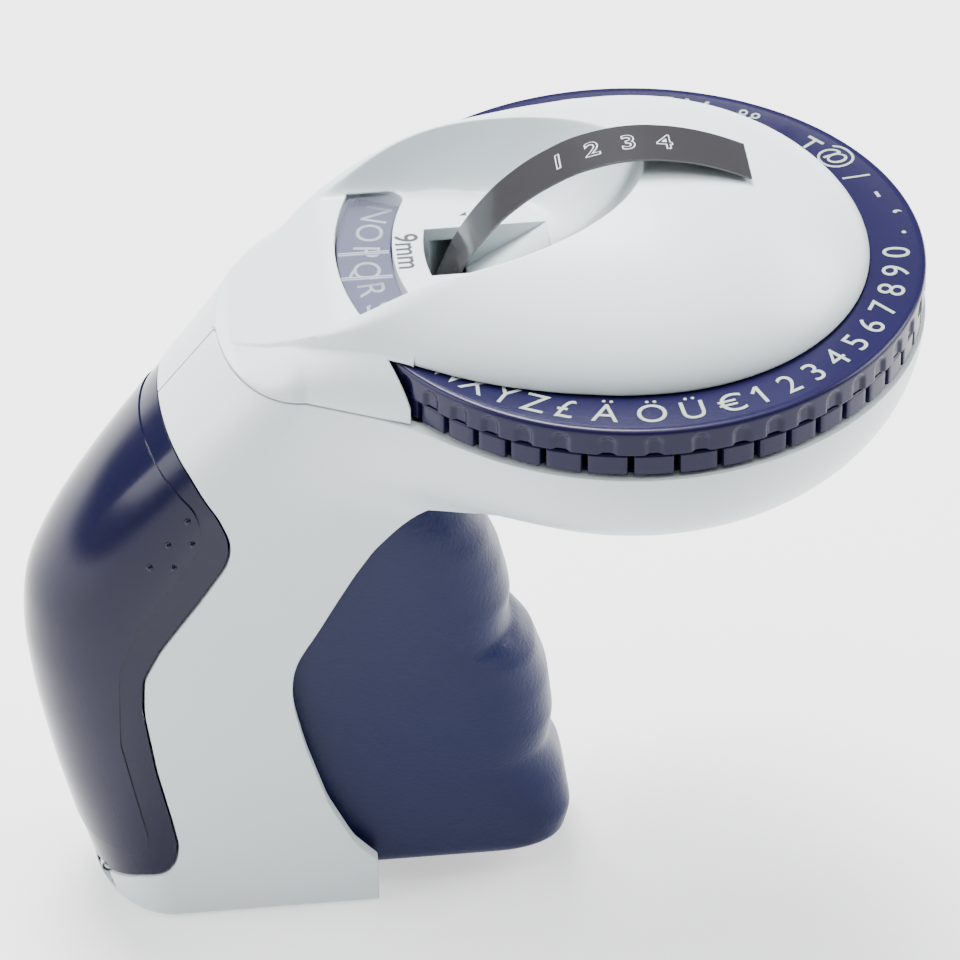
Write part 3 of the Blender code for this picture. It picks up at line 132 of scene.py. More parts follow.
# outline turned about an upright or crosswise axis: each point runs round a circle of its own radius
def turned(name, profile, centre, steps=96, axis="Z"):
    radius, height = np.array(profile, float).T
    turn = np.linspace(0, 2 * np.pi, steps, endpoint=False)
    across, along = np.outer(radius, np.cos(turn)), np.outer(radius, np.sin(turn))
    up = np.repeat(height[:, None], steps, 1)
    order = (across, along, up) if axis == "Z" else (across, up, along)
    points = np.stack(order, -1) + np.array(centre, float)
    isRing = profile[0][0] > 0
    made = addPiece(name, points, gridFaces(len(profile), steps, ringRows=isRing))
    return made if isRing else weld(made)


# flat outline in the side plane, carried straight across
def prism(name, outline, low, high):
    outline = np.array(outline, float)
    sides = [np.stack([outline[:, 0], np.full(len(outline), y), outline[:, 1]], 1) for y in (low, high)]
    return skin(name, np.array(sides))


# flat outline in plan, carried straight up
def slab(name, outline, low, high):
    outline = np.array(outline, float)
    return skin(name, np.array([np.column_stack([outline, np.full(len(outline), z)]) for z in (low, high)]))


def box(name, low, high):
    (x0, y0, z0), (x1, y1, z1) = low, high
    return slab(name, [(x0, y0), (x1, y0), (x1, y1), (x0, y1)], z0, z1)


# round bar about its middle
def rod(name, centre, radius, length, axis="Z", steps=48):
    half = length / 2
    return turned(name, [(0, half), (radius, half), (radius, -half), (0, -half)], centre, steps, axis)


# merges points that coincide, such as a profile's end on the axis
def weld(piece, distance=1e-6):
    work = bmesh.new()
    work.from_mesh(piece.data)
    bmesh.ops.remove_doubles(work, verts=work.verts, dist=distance)
    bmesh.ops.dissolve_degenerate(work, edges=work.edges, dist=distance)
    bmesh.ops.recalc_face_normals(work, faces=work.faces)
    work.to_mesh(piece.data)
    work.free()
    return piece


# applies a solid operation with each tool in turn, then drops the tools
def shapeWith(piece, operation, tools):
    for tool in tools:
        step = piece.modifiers.new("shape", "BOOLEAN")
        step.operation = operation
        step.solver = "MANIFOLD"
        step.object = tool
    bpy.context.view_layer.update()
    graph = bpy.context.evaluated_depsgraph_get()
    mesh = bpy.data.meshes.new_from_object(piece.evaluated_get(graph))
    piece.modifiers.clear()
    piece.data = mesh
    for tool in tools:
        bpy.data.objects.remove(tool, do_unlink=True)
    return piece


def cut(piece, *tools):
    return shapeWith(piece, "DIFFERENCE", tools)


def join(piece, *tools):
    return shapeWith(piece, "UNION", tools)


def meet(piece, *tools):
    return shapeWith(piece, "INTERSECT", tools)


def copyOf(piece, name):
    made = bpy.data.objects.new(name, piece.data.copy())
    bpy.context.scene.collection.objects.link(made)
    return made


# look, body and replaced nodes of a piece; edges sharper than the corner stay sharp
def finish(piece, look, body, replaced=(), corner=35):
    piece.data.materials.clear()
    piece.data.materials.append(materials[look])
    piece.data.polygons.foreach_set("use_smooth", np.ones(len(piece.data.polygons), bool))
    piece.data.set_sharp_from_angle(angle=math.radians(corner))
    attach(piece, body)
    if replaced:
        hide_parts(*replaced)
    return piece


# materials

# colour, other colour, roughness, shine, grain's scale, grain's depth and rounded edge in millimetres;
# after those, where they aren't 0, 1 and 0: metal, alpha and glow
finishes = {
    "shell": ((0.60, 0.665, 0.685), (0.56, 0.625, 0.645), 0.32, 0.4, 900, 0.012, 0.35),
    "wheel": ((0.0085, 0.0072, 0.036), (0.007, 0.0058, 0.028), 0.24, 0.18, 1400, 0.03, 0.22),
    "rearCover": ((0.006, 0.006, 0.026), (0.005, 0.005, 0.020), 0.14, 0.2, 500, 0.01, 0.1),
    "grip": ((0.010, 0.0135, 0.058), (0.008, 0.011, 0.047), 0.34, 0.17, 1500, 0.4, 0.4),
    "mechanism": ((0.10, 0.10, 0.105), (0.07, 0.07, 0.075), 0.5, 0.4, 900, 0.1, 0.2),
    "rubber": ((0.020, 0.020, 0.020), (0.014, 0.014, 0.014), 0.75, 0.3, 1800, 0.3, 0.2),
    "core": ((0.52, 0.49, 0.42), (0.45, 0.42, 0.35), 0.7, 0.3, 1200, 0.15, 0.2),
    "tape": ((0.028, 0.027, 0.030), (0.022, 0.021, 0.024), 0.17, 0.7, 220, 0.02, 0.04),
    "print": ((0.30, 0.35, 0.30), (0.26, 0.31, 0.26), 0.45, 0.3, 1500, 0.05, 0.02),
    "note": ((0.035, 0.043, 0.050), (0.028, 0.034, 0.040), 0.5, 0.3, 1500, 0.05, 0.02),
    "stress": ((0.60, 0.63, 0.65), (0.50, 0.53, 0.55), 0.3, 0.5, 2500, 0.1, 0.05),
    "steel": ((0.55, 0.55, 0.57), (0.42, 0.42, 0.44), 0.3, 0.5, 2200, 0.05, 0.1, 1.0),
    "windowClear": ((0.40, 0.42, 0.56), (0.35, 0.37, 0.50), 0.12, 0.5, 300, 0.02, 0.15, 0.0, 0.14),
    "windowRidge": ((0.60, 0.62, 0.72), (0.54, 0.56, 0.66), 0.2, 0.5, 300, 0.02, 0.05, 0.0, 0.75),
    "paleFloor": ((0.66, 0.66, 0.66), (0.65, 0.65, 0.65), 0.6, 0.2, 30, 0.0, 0.01, 0.0, 1.0, 0.8),
}
noise = {"cloud": 45, "cloudDetail": 3, "speckDetail": 4, "roughSpread": 0.15, "bump": 0.2}


# moulded surface: two near colours mixed by slow noise, a fine grain as bump, edges rounded in the shading
def moulded(name, colour, other, rough, shine, grain, depth, edge, metal=0.0, clear=1.0, glow=0.0):
    made = bpy.data.materials.new(name)
    made.use_nodes = True
    nodes, links = made.node_tree.nodes, made.node_tree.links
    shader = nodes["Principled BSDF"]
    place = nodes.new("ShaderNodeTexCoord")
    cloud = nodes.new("ShaderNodeTexNoise")
    cloud.inputs["Scale"].default_value = noise["cloud"]
    cloud.inputs["Detail"].default_value = noise["cloudDetail"]
    tone = nodes.new("ShaderNodeMix")
    tone.data_type = "RGBA"
    tone.inputs["A"].default_value = (*colour, 1)
    tone.inputs["B"].default_value = (*other, 1)
    speck = nodes.new("ShaderNodeTexNoise")
    speck.inputs["Scale"].default_value = grain
    speck.inputs["Detail"].default_value = noise["speckDetail"]
    spread = nodes.new("ShaderNodeMapRange")
    spread.inputs["To Min"].default_value = rough * (1 - noise["roughSpread"])
    spread.inputs["To Max"].default_value = rough * (1 + noise["roughSpread"])
    rounded = nodes.new("ShaderNodeBevel")
    rounded.samples = 4
    rounded.inputs["Radius"].default_value = edge * mm
    bump = nodes.new("ShaderNodeBump")
    bump.inputs["Strength"].default_value = depth
    bump.inputs["Distance"].default_value = noise["bump"] * mm
    links.new(place.outputs["Object"], cloud.inputs["Vector"])
    links.new(place.outputs["Object"], speck.inputs["Vector"])
    links.new(cloud.outputs["Fac"], tone.inputs["Factor"])
    links.new(tone.outputs["Result"], shader.inputs["Base Color"])
    links.new(speck.outputs["Fac"], spread.inputs["Value"])
    links.new(spread.outputs["Result"], shader.inputs["Roughness"])
    links.new(speck.outputs["Fac"], bump.inputs["Height"])
    links.new(rounded.outputs["Normal"], bump.inputs["Normal"])
    links.new(bump.outputs["Normal"], shader.inputs["Normal"])
    shader.inputs["Specular IOR Level"].default_value = shine
    shader.inputs["Metallic"].default_value = metal
    shader.inputs["Alpha"].default_value = clear
    if glow:
        shader.inputs["Emission Color"].default_value = (1, 1, 1, 1)
        shader.inputs["Emission Strength"].default_value = glow
    return made


materials = {name: moulded(name, *values) for name, values in finishes.items()}
print("materials ready")


# camera, light and floor

camera = {
    "place": (-0.06867, -0.72993, 0.64525), "turn": (51.9577, 0.5749, -5.9498),
    "lens": 225, "sensor": 36, "near": 0.01,
}
lens = bpy.data.cameras.new("camera")
lens.lens = camera["lens"]
lens.sensor_width = camera["sensor"]
lens.clip_start = camera["near"]
view = bpy.data.objects.new("camera", lens)
view.location = camera["place"]
view.rotation_euler = [math.radians(value) for value in camera["turn"]]
bpy.context.scene.collection.objects.link(view)
bpy.context.scene.camera = view

lamps = {
    "behind": dict(place=(-0.15, 0.56, 1.32), aim=(0, 0, 0.08), size=0.6, power=64.0),
    "overhead": dict(place=(0.05, 0.05, 1.15), aim=(0, 0, 0.08), size=0.9, power=14.0),
    "leftSide": dict(place=(-0.95, -0.10, 0.50), aim=(0, 0, 0.06), size=0.7, power=12.0),
    "rightSide": dict(place=(0.95, 0.15, 0.55), aim=(0, 0, 0.06), size=0.6, power=16.0),
}
for name, values in lamps.items():
    light = bpy.data.lights.new(name, "AREA")
    light.shape = "SQUARE"
    light.size = values["size"]
    light.energy = values["power"]
    lamp = bpy.data.objects.new(name, light)
    lamp.location = values["place"]
    aim = Vector(values["aim"]) - Vector(values["place"])
    lamp.rotation_euler = aim.to_track_quat("-Z", "Y").to_euler()
    bpy.context.scene.collection.objects.link(lamp)

room = {"colour": (0.95, 0.98, 1.0, 1), "strength": 0.2, "floorHalf": 3000, "floorLevel": -0.05}
world = bpy.data.worlds.new("studio")
world.use_nodes = True
world.node_tree.nodes["Background"].inputs["Color"].default_value = room["colour"]
world.node_tree.nodes["Background"].inputs["Strength"].default_value = room["strength"]
bpy.context.scene.world = world

floorCorners = [(x, y, 0) for x, y in ((-1, -1), (1, -1), (1, 1), (-1, 1))]
floorPoints = np.array(floorCorners) * room["floorHalf"] + (0, 0, room["floorLevel"])
floor = addPiece("floor", floorPoints, [(0, 1, 2, 3)], turnOut=False)
floor.data.materials.append(materials["paleFloor"])
print("camera, light and floor ready")


# handle and pan: sizes and outer form

# spine, half and round are tables of height and value; half is the width's half, round the back's depth
handle = {
    "spine": [
        (0, -60.9), (12, -64.2), (25, -67.1), (38, -69.3), (50, -70.5),
        (60, -69.8), (70, -64.8), (80, -58.0), (93, -47.5), (104.5, -38.3)],
    "half": [(0, 16.2), (31.3, 16.63), (60.6, 17.19), (80.5, 18.26), (93, 19.55), (104.5, 20.5)],
    "round": [(0, 12), (31.3, 16), (60.6, 17), (80.5, 16), (93, 14), (104.5, 12)],
    "flare": 11.3, "flareFrom": 0.765,  # widening forwards, and the share of the height where it starts
    "front": -2.0, "seam": 104.5, "footEdge": 1.2,
    "curvePoints": 57, "sidePoints": 25, "nosePoints": 3,
}
pan = {"x": 25.0, "radius": 44.76, "corner": 22.0}
seam = handle["seam"]
wall = 2.2
gap = 0.3
blankTop = 118.0  # blanks run past the seam, and the hollows past the blanks
hollowTop = 121.0
far = 120.0
aside = 60.0
spineAt = eased(handle["spine"], 3.0)
halfAt = eased(handle["half"], 4.0)
roundAt = eased(handle["round"], 4.0)


# widening rises from nothing to its full size between flareFrom and the seam
def flareAt(z):
    return handle["flare"] * easeShare((z / seam - handle["flareFrom"]) / (1 - handle["flareFrom"]))


# half width of the plan section: half an ellipse at the back, then a straight side that widens forwards
def sideAt(x, z):
    half, depth = halfAt(z), roundAt(z)
    middle = spineAt(z) + depth
    back = half * np.sqrt(np.clip(1 - ((middle - x) / depth) ** 2, 0, None))
    return np.where(x < middle, back, half + flareAt(z) * (x - middle) / (handle["front"] - middle))


# plan sections one above the other; inset moves the outline inwards
def handleRows(levels, insets):
    rows = []
    for z, inset in zip(levels, insets):
        back = spineAt(z) + inset
        half, depth = halfAt(z) - inset, roundAt(z) - inset
        front = handle["front"] - inset
        frontHalf = float(sideAt(np.array(handle["front"]), z)) - inset
        turn = np.linspace(-np.pi / 2, np.pi / 2, handle["curvePoints"])
        curve = np.stack([back + depth - depth * np.cos(turn), half * np.sin(turn)], 1)
        share = np.linspace(0, 1, handle["sidePoints"] + 1)[:-1, None]
        noseShare = share[::handle["nosePoints"]]
        right = np.array([front, -frontHalf]) * (1 - share) + curve[0] * share
        left = curve[-1] * (1 - share) + np.array([front, frontHalf]) * share
        nose = np.array([front, frontHalf]) * (1 - noseShare) + np.array([front, -frontHalf]) * noseShare
        plan = np.concatenate([right, curve, left[1:], nose])
        rows.append(np.column_stack([plan, np.full(len(plan), z)]))
    return np.array(rows)


# outer form with a rounded foot edge, or a plain inset form for hollows
def handleForm(name, inset, low, top, count=84):
    if inset > 0:
        levels = np.concatenate([np.linspace(low, seam, count), [top]])
        return skin(name, handleRows(levels, np.full(len(levels), inset)))
    edge = handle["footEdge"]
    turn = np.linspace(0, np.pi / 2, 6)[:-1]
    levels = np.concatenate([edge * (1 - np.cos(turn)) + low, np.linspace(low + edge, seam, count), [top]])
    insets = np.concatenate([edge * (1 - np.sin(turn)), np.zeros(count + 1)])
    return skin(name, handleRows(levels, insets))


# round pan: a flat floor, a corner that turns as a quarter circle, a straight wall above the seam
def panForm(name, inset, top, steps=200):
    corner = pan["corner"] - inset
    inner = pan["radius"] - pan["corner"]
    turn = np.linspace(0, np.pi / 2, 18)
    profile = [(0, top), (inner + corner, top)]
    profile += [(inner + corner * math.cos(t), seam - corner * math.sin(t)) for t in turn]
    profile += [(radius, seam - corner) for radius in np.linspace(inner, 0, 9)[1:]]
    return turned(name, profile, (pan["x"], 0, 0), steps)


# how far points lie outside the handle, about
def handleGap(points):
    x, y, z = points.T
    z = np.clip(z, 0, seam)
    half, depth = halfAt(z), roundAt(z)
    middle = spineAt(z) + depth
    back = (np.hypot((middle - x) / depth, y / half) - 1) * half
    side = np.abs(y) - (half + flareAt(z) * (x - middle) / (handle["front"] - middle))
    return np.maximum(np.where(x < middle, back, side), x - handle["front"])


# how far points lie outside the pan: distance to its rounded corner's centre circle, less the corner's radius
def panGap(points):
    x, y, z = points.T
    out = np.clip(np.hypot(x - pan["x"], y) - (pan["radius"] - pan["corner"]), 0, None)
    return np.hypot(out, np.clip(seam - z, 0, None)) - pan["corner"]


# the joint's rounding grows from least at the seam by more, over the depth below it
blend = {"least": 4, "more": 8, "depth": 14, "rounds": 5, "probe": 0.05, "level": 0.2, "leastSlope": 0.2}


# how far points lie outside the casing: the smaller of both, with the corner between them rounded
def casingGap(points):
    width = blend["least"] + blend["more"] * np.clip((seam - points[:, 2]) / blend["depth"], 0, 1)
    return softLeast(handleGap(points), panGap(points), width)


# moves the points near the joint onto the blended form, each step back along its steepest way
def blendJoint(piece):
    points = np.empty(len(piece.data.vertices) * 3)
    piece.data.vertices.foreach_get("co", points)
    points = points.reshape(-1, 3) / mm
    near = (np.abs(handleGap(points) - panGap(points)) < blend["depth"]) & (points[:, 2] < seam + 1)
    moved = points[near]
    for _ in range(blend["rounds"]):
        value = casingGap(moved)
        probes = np.eye(3) * blend["probe"]
        slope = np.stack([casingGap(moved + probe) - casingGap(moved - probe) for probe in probes], 1)
        slope /= 2 * blend["probe"]
        slope[moved[:, 2] > seam - blend["level"], 2] = 0
        moved -= slope * (value / np.maximum((slope ** 2).sum(1), blend["leastSlope"]))[:, None]
    points[near] = moved
    piece.data.vertices.foreach_set("co", (points * mm).ravel())
    piece.data.update()
    return piece


# outlines in the side plane, as x and z; each starts or ends past the casing's edge
openings = {
    "cover": [
        (-47.5, 93), (-43.6, 88.8), (-40.1, 82.7), (-38.4, 77.9), (-38.2, 75.0), (-38.9, 72.1),
        (-43.5, 64.7), (-49.6, 55.7), (-52.4, 50), (-52.7, 43.3), (-51.2, 31.1), (-49.3, 20.9),
        (-48.4, 15.3), (-48.9, 11.7), (-50.5, 9.5), (-54.6, 8.5), (-58.6, 6.3), (-61.9, 4.4)],
    "panel": [
        (-60.0, 89.6), (-52.5, 89.6), (-50.6, 89.3), (-49.4, 88.3), (-47.9, 87.0), (-45.6, 85.3),
        (-43.7, 83.7), (-42.9, 81.1), (-42.6, 78.5), (-43.4, 75.0), (-46.6, 70.0), (-50.1, 65.0),
        (-53.6, 59.5), (-56.3, 52.0), (-56.8, 37.0), (-54.9, 26.0), (-53.3, 17.3), (-53.6, 14.2),
        (-55.2, 12.7), (-59.2, 13.2)],
    "trigger": [
        (-17.0, 8.8), (-20.7, 13.1), (-24.7, 22.0), (-27.8, 33.3), (-29.4, 41.4), (-29.7, 45.5),
        (-29.5, 48.6), (-28.8, 51.4), (-27.3, 54.2), (-25.4, 57.4), (-23.0, 62.0), (-19.5, 68.5),
        (-16.4, 73.5), (-12.9, 77.4), (-9.9, 80.4), (-8.2, 82.1)],
}
behind = -90.0  # outlines close past the handle's back
coverEdge = softLine(openings["cover"], 0.9, 180)
panelEdge = softLine(openings["panel"], 0.9, 160)
triggerEdge = softLine(openings["trigger"], 1.0, 140)


# line moved sideways by a distance, square to its own direction
def movedLine(line, distance):
    along = directionOf(line)
    return line + np.stack([along[:, 1], -along[:, 0]], 1) * distance


# screw posts rise from bosses in the pan into the top cover; boss heights are middle and length
post = {
    "places": [(39.0, 17.0), (39.0, -17.0), (17.0, 21.5), (17.0, -21.5)],
    "radius": 3.2, "low": 95.3, "boss": 3.7, "bossMiddle": 89.3, "bossTall": 11.4,
    "bore": 1.55, "boreMiddle": 93.0, "boreTall": 20.6, "screwMiddle": 90.0, "screwTall": 11.0,
    "headBore": 2.6, "headMiddle": 78.0, "headTall": 14.2,
}
caseScrew = {
    "places": [(-43.5, 6.58), (-27.0, 78.0)], "boss": 3.4, "sink": 1.0,
    "headBore": 2.6, "headLong": 12.0, "headFrom": 2.1, "bore": 1.55, "boreFrom": 2.0, "borePast": 8.3,
}
hinge = {
    "x": -59.6, "z": 5.2, "pin": 0.8, "pinLong": 16.4, "barrel": 1.7, "halfLength": 6.0,
    "ear": 1.3, "earMiddle": 7.4, "earWide": 2.2, "earRoomMiddle": 7.25, "earRoomWide": 3.1,
    "footHalf": 0.99, "footLow": 1.1, "footShare": 0.1, "room": 3.2, "roomLong": 20.4,
    "bore": 1.1, "boreLong": 17.6, "barrelBoreLong": 24,
}
pivot = {
    "x": -9.8, "z": 90.0, "pin": 1.5, "pinLong": 25.0, "barrel": 3.4,
    "cheek": 9.7, "bore": 1.8, "boreLong": 25.6,
}
sill = {"top": 4.4, "coverFoot": 4.85, "openingTop": 101}
print("handle outlines ready")

casing = handleForm("casing", 0.0, 0.0, blankTop)
join(casing, panForm("panOuter", 0.0, blankTop))
blendJoint(casing)
cut(
    casing,
    handleForm("handleHollow", wall, wall, hollowTop, 50),
    panForm("panHollow", wall, hollowTop, 128),
)
coverTool = np.vstack([coverEdge, [(behind, sill["top"]), (behind, sill["openingTop"])]])
triggerTool = np.vstack([[(-17, -12)], triggerEdge, [(25, 82.1), (25, -12)]])  # closed below the foot
cut(
    casing,
    prism("coverOpening", coverTool, -aside, aside),
    prism("triggerOpening", triggerTool, -aside, aside),
    box("aboveSeam", (-far, -far, seam - gap), (far, far, 2 * far)),
    rod("hingeRoom", (hinge["x"], 0, hinge["z"]), hinge["room"], hinge["roomLong"], "Y"),
)
bosses = [rod("boss", (x, y, post["bossMiddle"]), post["boss"], post["bossTall"]) for x, y in post["places"]]
for x, z in caseScrew["places"]:
    bosses.append(rod("caseBoss", (x, 0, z), caseScrew["boss"], float(halfAt(z)) * 2 - wall, "Y"))
for side in (-1, 1):
    reach = float(sideAt(np.array(pivot["x"]), pivot["z"])) - wall / 2
    middle, long = side * (pivot["cheek"] + reach) / 2, reach - pivot["cheek"]
    bosses.append(rod("pivotBoss", (pivot["x"], middle, pivot["z"]), pivot["barrel"], long, "Y"))
    middle = side * hinge["earMiddle"]
    bosses.append(rod("ear", (hinge["x"], middle, hinge["z"]), hinge["ear"], hinge["earWide"], "Y", 24))
    footBack = hinge["x"] + hinge["ear"] * hinge["footShare"]
    footLow = (footBack, middle - hinge["footHalf"], hinge["footLow"])
    footHigh = (hinge["x"] + hinge["ear"], middle + hinge["footHalf"], hinge["z"])
    bosses.append(box("earFoot", footLow, footHigh))
join(casing, *bosses)
bores = []
for x, y in post["places"]:
    bores.append(rod("headBore", (x, y, post["headMiddle"]), post["headBore"], post["headTall"], steps=40))
    bores.append(rod("screwBore", (x, y, post["screwMiddle"]), post["bore"], post["screwTall"], steps=32))
bores.append(rod("pivotBore", (pivot["x"], 0, pivot["z"]), pivot["bore"], pivot["boreLong"], "Y", 32))
bores.append(rod("hingeBore", (hinge["x"], 0, hinge["z"]), hinge["bore"], hinge["boreLong"], "Y", 24))
for x, z in caseScrew["places"]:
    top = float(halfAt(z)) - caseScrew["sink"]
    headMiddle = top - caseScrew["headFrom"] + caseScrew["headLong"] / 2
    bores.append(rod("caseHead", (x, headMiddle, z), caseScrew["headBore"], caseScrew["headLong"], "Y", 40))
    boreEnd = top - caseScrew["boreFrom"]
    boreMiddle, boreLong = (boreEnd - caseScrew["borePast"]) / 2, boreEnd + caseScrew["borePast"]
    bores.append(rod("caseBore", (x, boreMiddle, z), caseScrew["bore"], boreLong, "Y", 32))
cut(casing, *bores)
for name, node, side in (("leftShell", "left_shell", 1), ("rightShell", "right_shell", -1)):
    half = copyOf(casing, name)
    low, high = sorted((side * gap / 2, -side * far))
    cut(half, box("otherSide", (-far, low, -far), (far, high, far)))
    finish(half, "shell", "casing", [node])
bpy.data.objects.remove(casing, do_unlink=True)
print("casing shells made")


# rear cover

cover = {
    "inset": 0.25, "edgeGap": 0.4, "blankTop": 110.0, "shapeTop": 100.5,
    "panelTop": 89.6, "panelFoot": 13.2, "panelRows": np.linspace(4, 100, 90),
    "dots": [(-44.6, 81.6), (-47.7, 77.0), (-44.1, 77.3), (-50.7, 72.7), (-47.1, 72.8)],
    "dotRadius": 0.55, "dotRise": 0.448, "dotSink": 0.02,
}
rearCover = handleForm("rearCover", cover["inset"], 0.0, cover["blankTop"])
insideEdge = movedLine(coverEdge, cover["edgeGap"])
insideEdge = insideEdge[insideEdge[:, 1] > sill["coverFoot"]]
coverShape = np.vstack([insideEdge, [(behind, sill["coverFoot"]), (behind, cover["shapeTop"])]])
meet(rearCover, prism("rearShape", coverShape, -aside, aside))
panelShape = np.vstack([panelEdge, [(behind, cover["panelFoot"]), (behind, cover["panelTop"])]])
raised = skin("raisedPanel", handleRows(cover["panelRows"], np.zeros_like(cover["panelRows"])))
join(rearCover, meet(raised, prism("panelShape", panelShape, -aside, aside)))
turn = np.linspace(0, np.pi, 14)[1:-1]
ball = [(cover["dotRadius"] * math.sin(t), cover["dotRise"] * math.cos(t)) for t in turn]
ball = [(0, cover["dotRise"])] + ball + [(0, -cover["dotRise"])]
domes = []
for x, z in cover["dots"]:
    for side in (-1, 1):
        y = float(sideAt(np.array(x), z)) - cover["dotSink"]
        domes.append(turned("dot", ball, (x, side * y, z), 20, "Y"))
join(rearCover, *domes)
cut(rearCover, handleForm("rearHollow", wall, wall, hollowTop, 50))
for side in (-1, 1):
    earRoom = (hinge["x"], side * hinge["earRoomMiddle"], hinge["z"])
    cut(rearCover, rod("earRoom", earRoom, hinge["ear"] + gap, hinge["earRoomWide"], "Y"))
hingeLine = (hinge["x"], 0, hinge["z"])
join(rearCover, rod("barrel", hingeLine, hinge["barrel"], hinge["halfLength"] * 2, "Y"))
cut(rearCover, rod("barrelBore", hingeLine, hinge["bore"], hinge["barrelBoreLong"], "Y", 32))
finish(rearCover, "rearCover", "rear_cover", ["rear_cover"])
print("rear cover made")


# top cover: neck and dome with the sunk dish

# crest is the ridge line's height by x, edge the neck's half width by x, power the arch's roundness by x
top = {
    "crest": [
        (-38.5, 103.2), (-32.0, 108.4), (-25.0, 113.3), (-19.5, 116.6), (-11.7, 121.6), (-7.2, 124.0),
        (-1.6, 126.4), (3.3, 127.9), (10.1, 129.4), (18.0, 130.3), (24.0, 130.6)],
    "edge": [
        (-38.5, 0.4), (-32.0, 10.1), (-25.0, 16.1), (-20.0, 19.4), (-13.4, 22.9), (-9.4, 25.4),
        (-3.7, 28.8), (2.1, 31.5), (10.8, 34.2), (19.6, 35.9), (25, 36.0)],
    "power": [(-20, 4.0), (-12, 2.75)],
    "domeRadius": 36.0, "domeRise": 17.0, "domeEdge": 113.5, "domePower": 0.667, "domeFall": 9,
    "neckFront": -11.2, "archFadeLong": 19.0, "leastHalf": 0.3, "blend": 1.2,
    "crestEnd": 12.0, "crestHold": 24.0, "crestBlend": 1.5, "footRise": 0.4,
    "dishFloor": 115.7, "dishHalf": 19.9, "dishLong": 31.0, "dishX": -5.0, "dishRise": 13.5,
    "dishSide": 0.78, "dishFront": 0.50, "dishBlend": 0.8,
    "hollowLow": 92.0, "wallSlope": 1.25,
}
crestAt = eased(top["crest"], 2.0)
sideEdgeAt = eased(top["edge"], 1.5)


# half width in plan: a circle in front of the wheel's axis, the table behind it
def domeHalf(x):
    ahead = np.sqrt(np.clip(top["domeRadius"] ** 2 - (x - pan["x"]) ** 2, 0, None))
    return np.where(x > pan["x"], ahead, np.minimum(sideEdgeAt(x), top["domeRadius"]))


# inside the dome's half width, or between the handle's sides behind the neck's front
def insideCover(x, y):
    neck = (x <= top["neckFront"]) & (np.abs(y) <= sideAt(x, np.full_like(x, seam)))
    return (np.abs(y) < domeHalf(x)) | neck


# dome: its rise times one less the squared share of its edge, to a power
# neck: a rounded arch under the ridge line, which fades out forwards
def coverTop(x, y):
    half = np.maximum(domeHalf(np.minimum(x, pan["x"])), top["leastHalf"])
    share = np.where(x > pan["x"], np.hypot(y, x - pan["x"]) / top["domeRadius"], np.abs(y) / half)
    dome = top["domeEdge"] + top["domeRise"] * np.clip(1 - share ** 2, 0, None) ** top["domePower"]
    dome -= np.clip((share - 1) * half, 0, None) * top["domeFall"]
    power = np.interp(x, *np.array(top["power"]).T)
    neckHalf = np.maximum(sideAt(x, np.full_like(x, seam)), top["leastHalf"])
    reach = np.clip(np.abs(y) / neckHalf, 0, 1)
    arch = seam + (crestAt(x) - seam) * np.sqrt(1 - reach ** power)
    arch -= (arch - seam) * easeShare((x - top["neckFront"]) / top["archFadeLong"])
    height = softMost(dome, arch, top["blend"])
    underCrest = softLeast(height, crestAt(np.minimum(x, top["crestHold"])), top["crestBlend"])
    return np.where(x < top["crestEnd"], underCrest, height)


# dish: flat floor, then a wall that rises with the square of how far a point is past the floor's edge
def dishTop(x, y):
    ahead = np.clip((x - top["dishX"]) / top["dishLong"], 0, None)
    across = np.abs(y) / top["dishHalf"]
    reach = np.hypot(ahead, across)
    sideways = across / np.maximum(reach, 1e-6)
    start = top["dishFront"] + (top["dishSide"] - top["dishFront"]) * sideways
    return top["dishFloor"] + top["dishRise"] * np.clip((reach - start) / (1 - start), 0, None) ** 2


# last distance along each ray from the middle at which a test still holds, by halving
def lastInside(test, directions, longest, halvings=40):
    low, high = np.zeros(len(directions)), np.full(len(directions), longest)
    for _ in range(halvings):
        middle = (low + high) / 2
        x, y = top["dishX"] + directions[:, 0] * middle, directions[:, 1] * middle
        inside = test(x, y)
        low, high = np.where(inside, middle, low), np.where(inside, high, middle)
    return low


rays = {"rimLongest": 60.0, "edgeLongest": 90.0, "rimBack": 1.0, "evenBack": 0.6, "evenLeast": 0.3}


